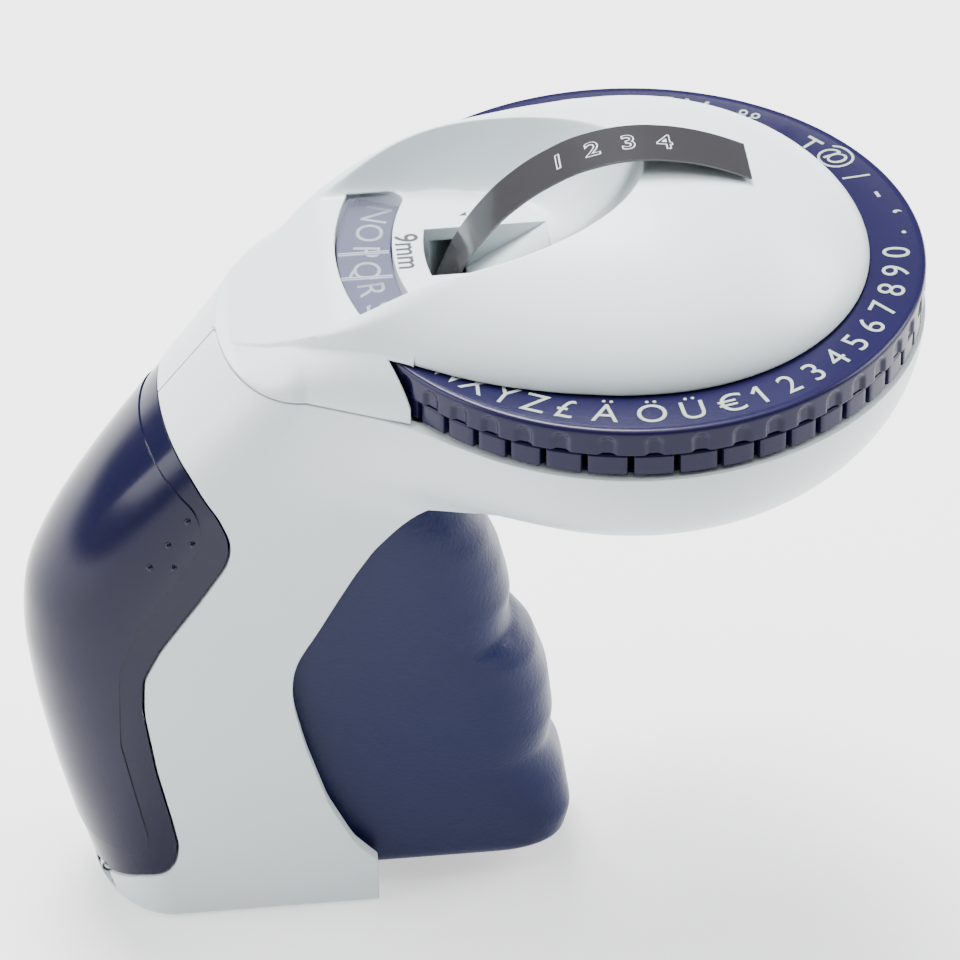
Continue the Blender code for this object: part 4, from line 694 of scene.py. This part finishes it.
# rays from the dish's middle; rows close up at the dish's rim, at an even line and at the cover's edge
def coverForm(name, count, inner, outer, inset, low):
    turn = np.linspace(0, 2 * np.pi, count, endpoint=False)
    directions = np.stack([np.cos(turn), np.sin(turn)], 1)
    rim = lastInside(lambda x, y: dishTop(x, y) < coverTop(x, y), directions, rays["rimLongest"])
    edge = lastInside(insideCover, directions, rays["edgeLongest"]) - inset * top["wallSlope"]
    rim = np.minimum(rim, edge - rays["rimBack"])
    spread = max(count // 30, 2)
    even = np.min([np.roll(edge, k) for k in range(-2 * spread, 2 * spread + 1)], axis=0)
    even = np.mean([np.roll(even, k) for k in range(-spread, spread + 1)], axis=0) - rays["evenBack"]
    even = np.maximum(even, rim + rays["evenLeast"])
    inShare = (1 - np.linspace(0, 1, inner)[:-1] ** 2)[::-1, None]
    outShare = ((1 - np.cos(np.linspace(0, np.pi, outer))) / 2)[1:, None]
    lastShare = np.sin(np.linspace(0, np.pi / 2, outer // 3))[1:, None]
    distance = [inShare * rim, rim + outShare * (even - rim), even + lastShare * (edge - even)]
    distance = np.concatenate(distance)
    x, y = top["dishX"] + distance * directions[:, 0], distance * directions[:, 1]
    surface = softLeast(coverTop(x, y), dishTop(x, y), top["dishBlend"])
    z = np.maximum(surface - inset, seam + top["footRise"] - inset)
    rows = np.stack([x, y, z], -1)
    foot = rows[-1].copy()
    foot[:, 2] = low
    rows = np.concatenate([rows, foot[None]])
    total = len(rows) * count
    faces = gridFaces(len(rows), count).tolist()
    faces.append(list(range(total - count, total)))
    points = np.vstack([rows.reshape(-1, 3), [(top["dishX"], 0, top["dishFloor"] - inset)]])
    ring = np.arange(count)
    faces += np.stack([np.full(count, total), ring, (ring + 1) % count], 1).tolist()
    return addPiece(name, points, faces)


# ring of a square section round the wheel's axis
def ringTool(name, inner, outer, low, high, steps=240):
    profile = [(inner, high), (outer, high), (outer, low), (inner, low)]
    return turned(name, profile, (pan["x"], 0, 0), steps)


# part of a ring behind the wheel's axis, its four corners rounded, with a point at every step of its outline
def sector(inner, outer, degrees, corner, count=160, step=0.8):
    middle, half = (inner + outer) / 2, (outer - inner) / 2
    wide = math.radians(degrees) * middle
    turn = np.linspace(0, 2 * np.pi, count, endpoint=False)
    c, s = np.cos(turn), np.sin(turn)
    across = np.sign(c) * (half - corner) + corner * c
    along = np.sign(s) * (wide - corner) + corner * s
    points = np.stack([across, along], 1)
    dense = []
    for a, b in zip(points, np.roll(points, -1, axis=0)):
        pieces = max(int(np.hypot(*(b - a)) / step), 1)
        dense += [a + (b - a) * k / pieces for k in range(pieces)]
    across, along = np.array(dense).T
    radius, angle = middle + across, np.pi - along / middle
    return np.stack([pan["x"] + radius * np.cos(angle), radius * np.sin(angle)], 1)


# rings round the wheel's axis: inner and outer radius, low and high
wheelRoom = (32.8, 45.3, 88.0, 113.35)
ringKeep = (30.6, 47.5, 88.0, 115.0)
window = {
    "inner": 36.4, "outer": 44.5, "degrees": 24.5, "corner": 1.6,
    "top": 115.3, "thick": 1.3, "low": 112.4, "ceiling": 115.9,
    "lineHalf": 3.15, "lineApart": 0.24, "lineWide": 0.12, "lineRise": 0.14,
    "lineSink": 0.2, "linePoints": 12,
}
slot = {
    "back": -7.3, "front": 12.7, "half": 5.9, "footX": 0.5, "footZ": 108.2, "ramp": 1.8, "rampEnd": 0.02,
    "arcRadius": 31.4, "arcHalf": 0.192, "wellHalf": 6.8, "toolHalf": 7, "toolTop": 128.0,
    "planLow": 100, "planTop": 130,
    "notchBack": -10.0, "notchFront": -4.3, "notchLow": 92.5, "notchTop": 112.4,
}

topCover = coverForm("topCover", 480, 26, 46, 0.0, seam)
hollow = coverForm("coverHollow", 160, 12, 20, wall, top["hollowLow"])
cut(hollow, ringTool("ringKeep", *ringKeep, 128))
cut(topCover, hollow, ringTool("wheelRoom", *wheelRoom))
posted = []
for x, y in post["places"]:
    outward = 1 + post["radius"] / math.hypot(x - pan["x"], y)
    roof = float(coverTop(np.array(pan["x"] + (x - pan["x"]) * outward), np.array(y * outward))) - wall / 2
    posted.append(rod("post", (x, y, (post["low"] + roof) / 2), post["radius"], roof - post["low"]))
wellTop = top["dishFloor"] - wall / 2
wellFront = slot["front"] + slot["ramp"] / 2
well = [
    (slot["footX"], slot["footZ"] - slot["ramp"]), (wellFront, wellTop - slot["ramp"]),
    (wellFront, wellTop), (slot["footX"], wellTop),
]
posted.append(prism("slotWell", well, -slot["wellHalf"], slot["wellHalf"]))
join(topCover, *posted)
slotSide = [
    (slot["back"], slot["footZ"]), (slot["footX"], slot["footZ"]),
    (slot["front"], top["dishFloor"] - slot["rampEnd"]),
    (slot["front"], slot["toolTop"]), (slot["back"], slot["toolTop"]),
]
arcTurn = np.linspace(-slot["arcHalf"], slot["arcHalf"], 13)
slotOutline = [(pan["x"] - slot["arcRadius"] * math.cos(t), slot["arcRadius"] * math.sin(t)) for t in arcTurn]
slotOutline += [(slot["front"] + 1, slot["half"]), (slot["front"] + 1, -slot["half"])]
slotPlan = slab("slotPlan", slotOutline, slot["planLow"], slot["planTop"])
slotTool = meet(prism("slotTool", slotSide, -slot["toolHalf"], slot["toolHalf"]), slotPlan)
notchLow = (slot["notchBack"], -slot["half"], slot["notchLow"])
notchHigh = (slot["notchFront"], slot["half"], slot["notchTop"])
tools = [slotTool, box("bossNotch", notchLow, notchHigh)]
windowHole = sector(
    window["inner"] - gap, window["outer"] + gap, window["degrees"] + gap, window["corner"] + gap)
tools.append(slab("windowOpening", windowHole, window["low"], window["ceiling"]))
for x, y in post["places"]:
    tools.append(rod("postBore", (x, y, post["boreMiddle"]), post["bore"], post["boreTall"], steps=32))
cut(topCover, *tools)
finish(topCover, "shell", "casing", ["top_cover"], corner=32)

paneShape = sector(window["inner"], window["outer"], window["degrees"], window["corner"])
paneLow = window["top"] - window["thick"]
pane = slab("dialWindow", paneShape, paneLow, window["top"])
finish(pane, "windowClear", "casing", ["dial_window"])
lineMiddles = [side * window["lineHalf"] + more * window["lineApart"] for side in (-1, 1) for more in (-1, 1)]
turn = np.linspace(0, 2 * np.pi, window["linePoints"], endpoint=False)
for index, y in enumerate(lineMiddles):
    inner = pan["x"] - math.sqrt(window["inner"] ** 2 - y * y) - window["lineSink"]
    outer = pan["x"] - math.sqrt(window["outer"] ** 2 - y * y) + window["lineSink"]
    across, up = y + window["lineWide"] * np.cos(turn), paneLow + window["lineRise"] * np.sin(turn)
    ends = np.array([np.stack([np.full(len(turn), x), across, up], 1) for x in (outer, inner)])
    finish(skin(f"windowLine{index + 1}", ends), "windowRidge", "casing")
print("top cover and window made")


# character wheel

# cells are counts of equal steps in degrees, from one character's middle to the next
wheel = {
    "outer": 44.6, "inner": 33.5, "top": 113.0, "low": 108.7, "edge": 0.7,
    "grooveHalf": 1.55, "grooveDeep": 0.48, "grooveTop": 112.15, "grooveSteep": 1.9,
    "arch": 0.12, "archHalf": 1.3, "archSteep": 1.3, "rimBand": 1.0, "underside": 2.0,
    "rimInner": 43.2, "printOuter": 43.0, "printSink": 0.05,
    "firstMiddle": 68.6, "columns": 20, "sideRows": 14, "scissorCell": 47,
    "cells": [(25, 6.95), (1, 7.3), (3, 8.85), (1, 8.0), (11, 6.93), (3, 7.3), (1, 8.2), (1, 8.0), (1, 17.3)],
    "notchAt": 46.0, "notchRadius": 36.4, "notchHalf": 1, "notchLow": 112.0, "notchTop": 120,
}
middles = np.cumsum([wheel["firstMiddle"]] + [step for count, step in wheel["cells"] for _ in range(count)])
before = np.concatenate([[middles[-1] - 360], middles[:-1]])
edges = (before + middles) / 2
ends = np.append(edges[1:], edges[0] + 360)


# rim grooves: a pill-shaped hollow at each cell's middle, deepest along its centre line, with a round top
def grooveDepth(arcAway, z):
    away = np.hypot(arcAway, np.clip(z - wheel["grooveTop"] + wheel["grooveHalf"], 0, None))
    return wheel["grooveDeep"] * easeShare(wheel["grooveSteep"] * (1 - away / wheel["grooveHalf"]))


# points round the wheel's axis at given angles, radii and height
def roundWheel(angle, radius, z):
    return np.stack([pan["x"] + radius * np.cos(angle), radius * np.sin(angle), z + 0 * angle], 1)


cellShare = np.linspace(0, 1, wheel["columns"], endpoint=False)
angle = np.radians((edges[:, None] + (ends - edges)[:, None] * cellShare).ravel())
middleAngle = np.radians(np.repeat(middles, wheel["columns"]))
arcAway = np.abs(angle - middleAngle) * wheel["outer"]
edge, rimTop = wheel["edge"], wheel["top"] - wheel["edge"]
rows = [(wheel["inner"], wheel["low"]), (wheel["outer"] - wheel["underside"], wheel["low"])]
rows += [(wheel["outer"], z) for z in np.linspace(wheel["low"], rimTop, wheel["sideRows"])]
for t in np.linspace(0, np.pi / 2, 6)[1:]:
    rows.append((wheel["outer"] - edge * (1 - math.cos(t)), rimTop + edge * math.sin(t)))
printTop = wheel["top"] - wheel["printSink"]
rows += [(wheel["rimInner"], wheel["top"]), (wheel["printOuter"], printTop), (wheel["inner"], printTop)]
lift = wheel["arch"] * easeShare(wheel["archSteep"] * (1 - arcAway / wheel["archHalf"]))
columns = []
for radius, z in rows:
    onRim = radius > wheel["outer"] - wheel["rimBand"]
    depth = grooveDepth(arcAway, z) if onRim else 0.0
    raised = lift if onRim and z == wheel["low"] else 0.0
    columns.append(roundWheel(angle, radius - depth, z + raised))
letterRing = addPiece("letterRing", np.array(columns), gridFaces(len(rows), len(angle), ringRows=True))
notchAt, notchHalf = math.radians(wheel["notchAt"]), wheel["notchHalf"]
notchX = pan["x"] + wheel["notchRadius"] * math.cos(notchAt)
notchY = wheel["notchRadius"] * math.sin(notchAt)
notchLow = (notchX - notchHalf, notchY - notchHalf, wheel["notchLow"])
notchHigh = (notchX + notchHalf, notchY + notchHalf, wheel["notchTop"])
cut(letterRing, box("notch", notchLow, notchHigh))
finish(letterRing, "wheel", "wheel", ["letter_ring"])

# die tabs: the outer radius steps in at every slot between two cells, corners a little rounded
dies = {
    "outer": 44.3, "slotInner": 37.1, "slotHalf": 0.45, "low": 104.8, "top": 108.4, "corner": 0.25,
    "turnWide": 0.3, "turnFine": 0.08, "tabShares": np.array([0.25, 0.42, 0.58, 0.75]),
    "bladeHalf": 0.6, "bladeOuter": 46.0, "bladeLow": 104.5, "bladeTop": 108.7,
}
half, wide, fine = dies["slotHalf"], dies["turnWide"], dies["turnFine"]
slotDeep = dies["slotInner"] - dies["outer"]
halfOffsets = np.array([half, half, half + fine, half + wide])
halfSteps = np.array([slotDeep, -wide, -fine, 0])
offsets = np.concatenate([-halfOffsets[::-1], halfOffsets])
steps = np.concatenate([halfSteps[::-1], halfSteps])
angle, reach = [], []
for start, end in zip(edges, ends):
    angle += list(np.radians(start) + offsets / dies["outer"])
    angle += list(np.radians(start + (end - start) * dies["tabShares"]))
    reach += list(steps) + [0] * len(dies["tabShares"])
angle, reach = np.array(angle), dies["outer"] + np.array(reach)
corner, low, high = dies["corner"], dies["low"], dies["top"]
rows = [(reach - corner, low), (reach, low + corner), (reach, high - corner), (reach - corner, high)]
rows = [(wheel["inner"], low)] + rows + [(wheel["inner"], high)]
columns = [roundWheel(angle, radius, z) for radius, z in rows]
dieRing = addPiece("dieRing", np.array(columns), gridFaces(len(rows), len(angle), ringRows=True))
bladeAngle = math.radians(float(middles[wheel["scissorCell"]]))
bladeTurn = Matrix.Translation((pan["x"] * mm, 0, 0)) @ Matrix.Rotation(bladeAngle, 4, "Z")
bladeLow = (dies["slotInner"], -dies["bladeHalf"], dies["bladeLow"])
bladeRoom = box("bladeRoom", bladeLow, (dies["bladeOuter"], dies["bladeHalf"], dies["bladeTop"]))
bladeRoom.data.transform(bladeTurn)
cut(dieRing, bladeRoom)
finish(dieRing, "wheel", "wheel", ["die_ring"])
print("wheel made")


# printed and embossed characters

# flat letter as points and faces in millimetres, middle at zero across, foot at zero, given thickness
def letterShape(body, size, thick, swell=0.0):
    curve = bpy.data.curves.new("letter", "FONT")
    curve.body = body
    curve.size = size
    curve.align_x = "CENTER"
    curve.extrude = thick / 2
    curve.offset = swell
    curve.resolution_u = 5
    holder = bpy.data.objects.new("letter", curve)
    bpy.context.scene.collection.objects.link(holder)
    bpy.context.view_layer.update()
    mesh = bpy.data.meshes.new_from_object(holder.evaluated_get(bpy.context.evaluated_depsgraph_get()))
    points = np.empty(len(mesh.vertices) * 3)
    mesh.vertices.foreach_get("co", points)
    faces = [list(face.vertices) for face in mesh.polygons]
    bpy.data.objects.remove(holder, do_unlink=True)
    bpy.data.meshes.remove(mesh)
    bpy.data.curves.remove(curve)
    return points.reshape(-1, 3), faces


# several shapes as one list of points and faces
def together(shapes):
    points, faces, count = [], [], 0
    for shape, sides in shapes:
        points.append(shape)
        faces += [[index + count for index in face] for face in sides]
        count += len(shape)
    return np.vstack(points), faces


# strip of a given width along a line of points, with a thickness
def stroke(line, wide, thick):
    line = np.array(line, float)
    along = directionOf(line)
    across = np.stack([-along[:, 1], along[:, 0]], 1) * wide / 2
    rows = np.stack([line + across, line - across], 1)
    flat = np.zeros((len(line), 2, 1))
    upper = np.concatenate([rows, flat + thick / 2], 2)
    lower = np.concatenate([rows[:, ::-1], flat - thick / 2], 2)
    faces = gridFaces(len(line), 4).tolist() + [[3, 2, 1, 0], [4 * len(line) - 4 + k for k in range(4)]]
    return np.concatenate([upper, lower], 1).reshape(-1, 3), faces


capHeight = 4.1
sample, _ = letterShape("H", 1.0, 0.0)
letterSize = capHeight / (sample[:, 1].max() - sample[:, 1].min())

# strokes of the drawn signs are lines in millimetres above a character's foot
printed = {
    "text": "ABCDEFGHIJKLMNOPQRSTUVWXYZ" + "£ÄÖÜ€" + "1234567890" + ".,-/@",
    "thick": 0.06, "swell": -0.02, "middle": 40.05, "rise": 0.03, "signThick": 0.07,
    "feed": [[(-1.5, 0.6), (1.5, 0.6)], [(0, 0.85), (0, 3.4)]], "feedWide": 0.5,
    "blades": [[(-1.25, 3.9), (0.75, 1.3)], [(1.25, 3.9), (-0.75, 1.3)]], "bladeWide": 0.42,
    "eyeX": 1.05, "eyeZ": 0.75, "eyeHalf": 0.55, "eyeTall": 0.6, "eyeWide": 0.36,
    "euroBars": [[(-2.1, z), (0.7, z)] for z in (1.65, 2.55)], "euroWide": 0.42,
    "oneFlag": [(-1.15, 2.75), (-0.1, 3.95)], "oneWide": 0.5,
    "angles": (
        list(middles[:26]) + [249.0, 257.6, 267.3, 276.0, 284.6] + list(291.4 + 6.9 * np.arange(10))
        + [0.7, 8.2, 15.3, 23.2, 31.6, 39.2, 56.4]),
}
thick, swell = printed["thick"], printed["swell"]
feedMark = [stroke(line, printed["feedWide"], thick) for line in printed["feed"]]
scissorMark = [stroke(line, printed["bladeWide"], thick) for line in printed["blades"]]
eyeTurn = np.linspace(0, 2 * np.pi, 17)
for side in (-1, 1):
    eyeX = side * printed["eyeX"] + printed["eyeHalf"] * np.cos(eyeTurn)
    eye = np.stack([eyeX, printed["eyeZ"] + printed["eyeTall"] * np.sin(eyeTurn)], 1)
    scissorMark.append(stroke(eye, printed["eyeWide"], thick))
shapes = [letterShape(text, letterSize, thick, swell) for text in printed["text"]]
euro = [letterShape("C", letterSize, thick, swell)]
euro += [stroke(line, printed["euroWide"], printed["signThick"]) for line in printed["euroBars"]]
one = [letterShape("I", letterSize, thick, swell)]
one += [stroke(printed["oneFlag"], printed["oneWide"], printed["signThick"])]
shapes[printed["text"].index("€")] = together(euro)
shapes[printed["text"].index("1")] = together(one)
shapes += [together(feedMark), together(scissorMark)]
foot = printed["middle"] + capHeight / 2
placed = []
for (points, faces), degrees in zip(shapes, printed["angles"]):
    turn = math.radians(degrees)
    out = np.array([math.cos(turn), math.sin(turn)])
    across = np.array([-math.sin(turn), math.cos(turn)])
    plan = np.array([pan["x"], 0]) + foot * out + points[:, :1] * across - points[:, 1:2] * out
    placed.append((np.column_stack([plan, printTop + printed["rise"] + points[:, 2]]), faces))
finish(addPiece("ringCharacters", *together(placed)), "print", "wheel")

note = {
    "text": "9mm", "length": 8.7, "height": 3.7, "x": -10.5, "y": 0.6,
    "thick": 0.02, "swell": 0.012, "unitHeight": 0.729,
    "mark": [(-0.3, 8.9), (0.9, 9.8), (0.9, 8.8)], "markSink": 0.05, "markRise": 0.03,
}
points, faces = letterShape(note["text"], 1.0, 0.0)
unitLength = points[:, 0].max() - points[:, 0].min()
points, faces = letterShape(note["text"], 1.0, note["thick"], note["swell"])
x = note["x"] + points[:, 1] * note["height"] / note["unitHeight"]
y = note["y"] - points[:, 0] * note["length"] / unitLength
sizeNote = addPiece("sizeNote", np.stack([x, y, top["dishFloor"] + note["thick"] + points[:, 2]], 1), faces)
finish(sizeNote, "note", "casing")
markLow, markHigh = top["dishFloor"] - note["markSink"], top["dishFloor"] + note["markRise"]
slotMark = slab("slotMark", note["mark"], markLow, markHigh)
finish(slotMark, "note", "casing")
print("characters made")


# tape, its roll and the rollers

tape = {
    "path": [
        (-64.0, 63.3), (-32.5, 100.8), (-31.1, 102.14), (-29.4, 103.16), (-27.56, 103.8), (-25.6, 104.0),
        (-10.2, 104.0), (-8.6, 104.2), (-7.0, 104.76), (-5.4, 106.04), (-4.52, 107.32), (-4.0, 108.64),
        (-2.8, 111.8), (-1.12, 115.52), (1.48, 119.72), (5.2, 124.28), (10.0, 128.26), (16.0, 131.57),
        (22.0, 133.04), (27.0, 133.24), (33.0, 132.24), (38.0, 130.56), (42.5, 128.36)],
    "half": 4.5, "thick": 0.35, "spread": 1.7, "rows": 520,
    "outside": 200,  # from this row on the tape only runs forwards
    "text": "1234", "height": 3.3, "firstX": 14.0, "step": 5.45,
    "stressSwell": 0.14, "stressTop": 0.13, "topSwell": -0.06, "topTop": 0.20, "sink": 0.05,
}
tapeLine = softLine(tape["path"], tape["spread"], tape["rows"])
tapeLength = np.concatenate([[0], np.cumsum(np.hypot(*np.diff(tapeLine, axis=0).T))])
along = directionOf(tapeLine)
tapeOut = np.stack([-along[:, 1], along[:, 0]], 1)
half, thin = tape["half"], tape["thick"] / 2
rows = []
for y, w in [(-half, -thin), (-half, thin), (half, thin), (half, -thin)]:
    side = tapeLine + tapeOut * w
    rows.append(np.stack([side[:, 0], np.full(len(side), y), side[:, 1]], 1))
labelTape = skin("labelTape", np.stack(rows, 1))
finish(labelTape, "tape", "casing", ["label_tape"], corner=50)


# flat letters carried onto the tape: x runs along its length, y across it and z out of it
def onTape(points, start):
    where = start + points[:, 0]
    x = np.interp(where, tapeLength, tapeLine[:, 0])
    z = np.interp(where, tapeLength, tapeLine[:, 1])
    outX = np.interp(where, tapeLength, tapeOut[:, 0])
    outZ = np.interp(where, tapeLength, tapeOut[:, 1])
    rise = thin + points[:, 2]
    return np.stack([x + outX * rise, points[:, 1], z + outZ * rise], 1)


outside = tape["outside"]
first = float(np.interp(tape["firstX"], tapeLine[outside:, 0], tapeLength[outside:]))
embossed = {
    "stressLines": (tape["stressSwell"], tape["stressTop"], "stress"),
    "embossedTops": (tape["topSwell"], tape["topTop"], "tape"),
}
for name, (swell, high, look) in embossed.items():
    shapes = []
    for index, text in enumerate(tape["text"]):
        size = tape["height"] / capHeight * letterSize
        points, faces = letterShape(text, size, high + tape["sink"], swell)
        points = points + (0, -tape["height"] / 2, (high - tape["sink"]) / 2)
        shapes.append((onTape(points, first + tape["step"] * index), faces))
    finish(addPiece(name, *together(shapes)), look, "casing")

# wound layers show as steps in the roll's flat sides
roll = {
    "x": -50.0, "z": 52.0, "outer": 16.8, "bore": 8.0, "half": 4.5,
    "layers": 36, "step": 0.05, "inside": 0.2,
}
layers = np.linspace(roll["outer"], roll["bore"] + roll["inside"], roll["layers"])
profile = [(roll["bore"], roll["half"])]
profile += [(r, roll["half"] - roll["step"] * (k % 2)) for k, r in enumerate(layers[::-1])]
profile += [(r, roll["step"] * (k % 2) - roll["half"]) for k, r in enumerate(layers)]
profile += [(roll["bore"], -roll["half"])]
tapeRoll = turned("tapeRoll", profile, (roll["x"], 0, roll["z"]), 120, "Y")
finish(tapeRoll, "tape", "tape_roll", ["tape_roll"])

feed = {"x": -26.0, "z": 99.525, "pressZ": 106.875, "half": 4.4, "bore": 1.3, "axle": 1.0, "axleLong": 18.8}
# name, node, look, slot, body, x, z, half length, outer radius, bore radius
sleeves = [
    ("tapeCore", "tape_core", "core", "core", "tape_roll", roll["x"], roll["z"], roll["half"], 7.7, 6.8),
    (
        "feedRoller", "feed_roller", "rubber", "roller", "feed_roller",
        feed["x"], feed["z"], feed["half"], 4.0, feed["bore"]),
    (
        "pressureRoller", "pressure_roller", "rubber", "roller", "pressure_roller",
        feed["x"], feed["pressZ"], feed["half"], 2.4, feed["bore"]),
]
for name, node, look, slotName, body, x, z, half, outer, inner in sleeves:
    profile = [(inner, half), (outer, half), (outer, -half), (inner, -half)]
    finish(turned(name, profile, (x, 0, z), 96, "Y"), look, body, [node])
pins = {
    "feedAxle": ("feed_axle", (feed["x"], 0, feed["z"]), feed["axle"], feed["axleLong"]),
    "pressureAxle": ("pressure_axle", (feed["x"], 0, feed["pressZ"]), feed["axle"], feed["axleLong"]),
    "pivotPin": ("trigger_pivot_pin", (pivot["x"], 0, pivot["z"]), pivot["pin"], pivot["pinLong"]),
    "hingePin": ("cover_hinge_pin", hingeLine, hinge["pin"], hinge["pinLong"]),
}
for name, (node, centre, radius, length) in pins.items():
    finish(rod(name, centre, radius, length, "Y"), "steel", "casing", [node])
print("tape and rollers made")


# trigger grip

# front is a table of height and x; corner sizes are at the foot and above it, between roundFrom and roundTo
grip = {
    "front": [
        (4.6, 10.6), (6.3, 13.7), (10.45, 15.0), (16.2, 14.0), (20.6, 12.2), (22.2, 11.8), (24.2, 12.2),
        (27.4, 12.6), (34.5, 11.9), (40.8, 9.9), (44.4, 7.3), (46.2, 5.6), (48.2, 5.6), (52.3, 6.0),
        (58.5, 4.6), (63.7, 2.5), (69, -0.7), (74.2, -4.6), (79, -8.8)],
    "half": 12.5, "tuck": 4.0, "wall": 1.8, "foot": 4.6, "footTall": 2.4, "footTuck": 1.5, "top": 79.0,
    "cornerLong": (8.0, 15.0), "cornerWide": (7.0, 12.2), "roundFrom": 7.0, "roundTo": 22.0, "bend": 0.8,
    "leastSide": 0.3, "hollowFoot": 6.4, "hollowBack": 12.0, "hollowUp": 12.0,
}
gripFront = eased(grip["front"], 0.55)
gripBack = eased([(z, x) for x, z in openings["trigger"]], 1.5)


# plan sections: flat back, straight sides, and a front that turns as part of a rounded square;
# the foot's edge is rounded by a quarter circle
def gripRows(levels, inset, backMore):
    rows = []
    for z in levels:
        footShare = np.clip((z - grip["foot"]) / grip["footTall"], 0, 1)
        tuckIn = inset
        if inset == 0:
            tuckIn = grip["footTuck"] * (1 - math.sqrt(1 - (1 - footShare) ** 2))
        roundness = easeShare((z - grip["roundFrom"]) / (grip["roundTo"] - grip["roundFrom"]))
        front = float(gripFront(z)) - tuckIn
        back = min(float(gripBack(z)) - grip["tuck"], front - grip["wall"]) - backMore
        long = float(np.interp(roundness, (0, 1), grip["cornerLong"])) - inset
        long = min(long, front - back - grip["leastSide"])
        half = grip["half"] - tuckIn
        wide = float(np.interp(roundness, (0, 1), grip["cornerWide"])) - inset
        turn = np.linspace(0, np.pi / 2, 22)
        across = np.clip(np.cos(turn), 0, 1) ** grip["bend"]
        bend = np.stack([front - long + long * np.sin(turn) ** grip["bend"], half - wide + wide * across], 1)
        share = np.linspace(0, 1, 12)[:-1, None]
        side = np.array([back, half]) * (1 - share) + bend[0] * share
        left = np.concatenate([side, bend])
        plan = np.concatenate([left, left[::-1] * (1, -1)])
        rows.append(np.column_stack([plan, np.full(len(plan), z)]))
    return np.array(rows)


footTurn = np.linspace(0, np.pi / 2, 8)[:-1]
footTop = grip["foot"] + grip["footTall"]
levels = np.concatenate(
    [grip["foot"] + grip["footTall"] * (1 - np.cos(footTurn)), np.linspace(footTop, grip["top"], 170)])
triggerGrip = skin("triggerGrip", gripRows(levels, 0.0, 0.0))
levels = np.concatenate([[grip["hollowFoot"]], np.linspace(footTop, grip["top"], 60)])
inner = gripRows(levels, grip["wall"], grip["hollowBack"])
lid = inner[-1:] + (0, 0, grip["hollowUp"])
cut(triggerGrip, skin("gripHollow", np.concatenate([inner, lid])))
finish(triggerGrip, "grip", "trigger", ["trigger_grip"], corner=40)
print("trigger grip made")


# screws

screw = {
    "radius": 1.25, "head": 2.3, "headTall": 1.8, "edge": 0.4, "tipShare": 0.6, "tipTall": 1.2,
    "arm": 1.5, "armHalf": 0.35, "armDeep": 1.0, "coverTall": 20.0, "coverLow": 83.0, "caseMore": 8.0,
}


# shank with a narrower tip, head with a rounded edge, and a crossed recess
def screwForm(name, tall):
    head, headTall, edge, radius = screw["head"], screw["headTall"], screw["edge"], screw["radius"]
    profile = [(0, tall), (radius * screw["tipShare"], tall), (radius, tall - screw["tipTall"])]
    profile += [(radius, headTall), (head, headTall)]
    turn = np.linspace(0, np.pi / 2, 5)
    profile += [(head - edge * (1 - math.cos(t)), edge * (1 - math.sin(t))) for t in turn] + [(0, 0)]
    made = turned(name, profile, (0, 0, 0), 48)
    arm, thin, deep = screw["arm"], screw["armHalf"], screw["armDeep"]
    longways = box("armA", (-arm, -thin, -deep), (arm, thin, deep))
    crossways = box("armB", (-thin, -arm, -deep), (thin, arm, deep))
    return cut(made, longways, crossways)


for index, (x, y) in enumerate(post["places"]):
    made = screwForm(f"coverScrew{index + 1}", screw["coverTall"])
    made.data.transform(Matrix.Translation((x * mm, y * mm, screw["coverLow"] * mm)))
    finish(made, "steel", "casing", [f"cover_screw_{index + 1}"])
for index, (x, z) in enumerate(caseScrew["places"]):
    face = float(halfAt(z)) - caseScrew["sink"]
    made = screwForm(f"caseScrew{index + 1}", face + screw["caseMore"])
    sideways = Matrix.Rotation(math.pi / 2, 4, "X")
    made.data.transform(Matrix.Translation((x * mm, face * mm, z * mm)) @ sideways)
    finish(made, "steel", "casing", [f"case_screw_{index + 1}"])
print("screws made")


# pieces shown as they are, with their finish

plain = {
    "mechanism": ["trigger_core", "mechanism_frame", "platen", "tape_cradle", "wheel_bed"],
    "steel": ["feed_finger", "return_spring", "ratchet_wheel", "cutter_blade"],
}
for look, names in plain.items():
    for name in names:
        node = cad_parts[name]
        node.data.materials.clear()
        node.data.materials.append(materials[look])
print("inner pieces finished")
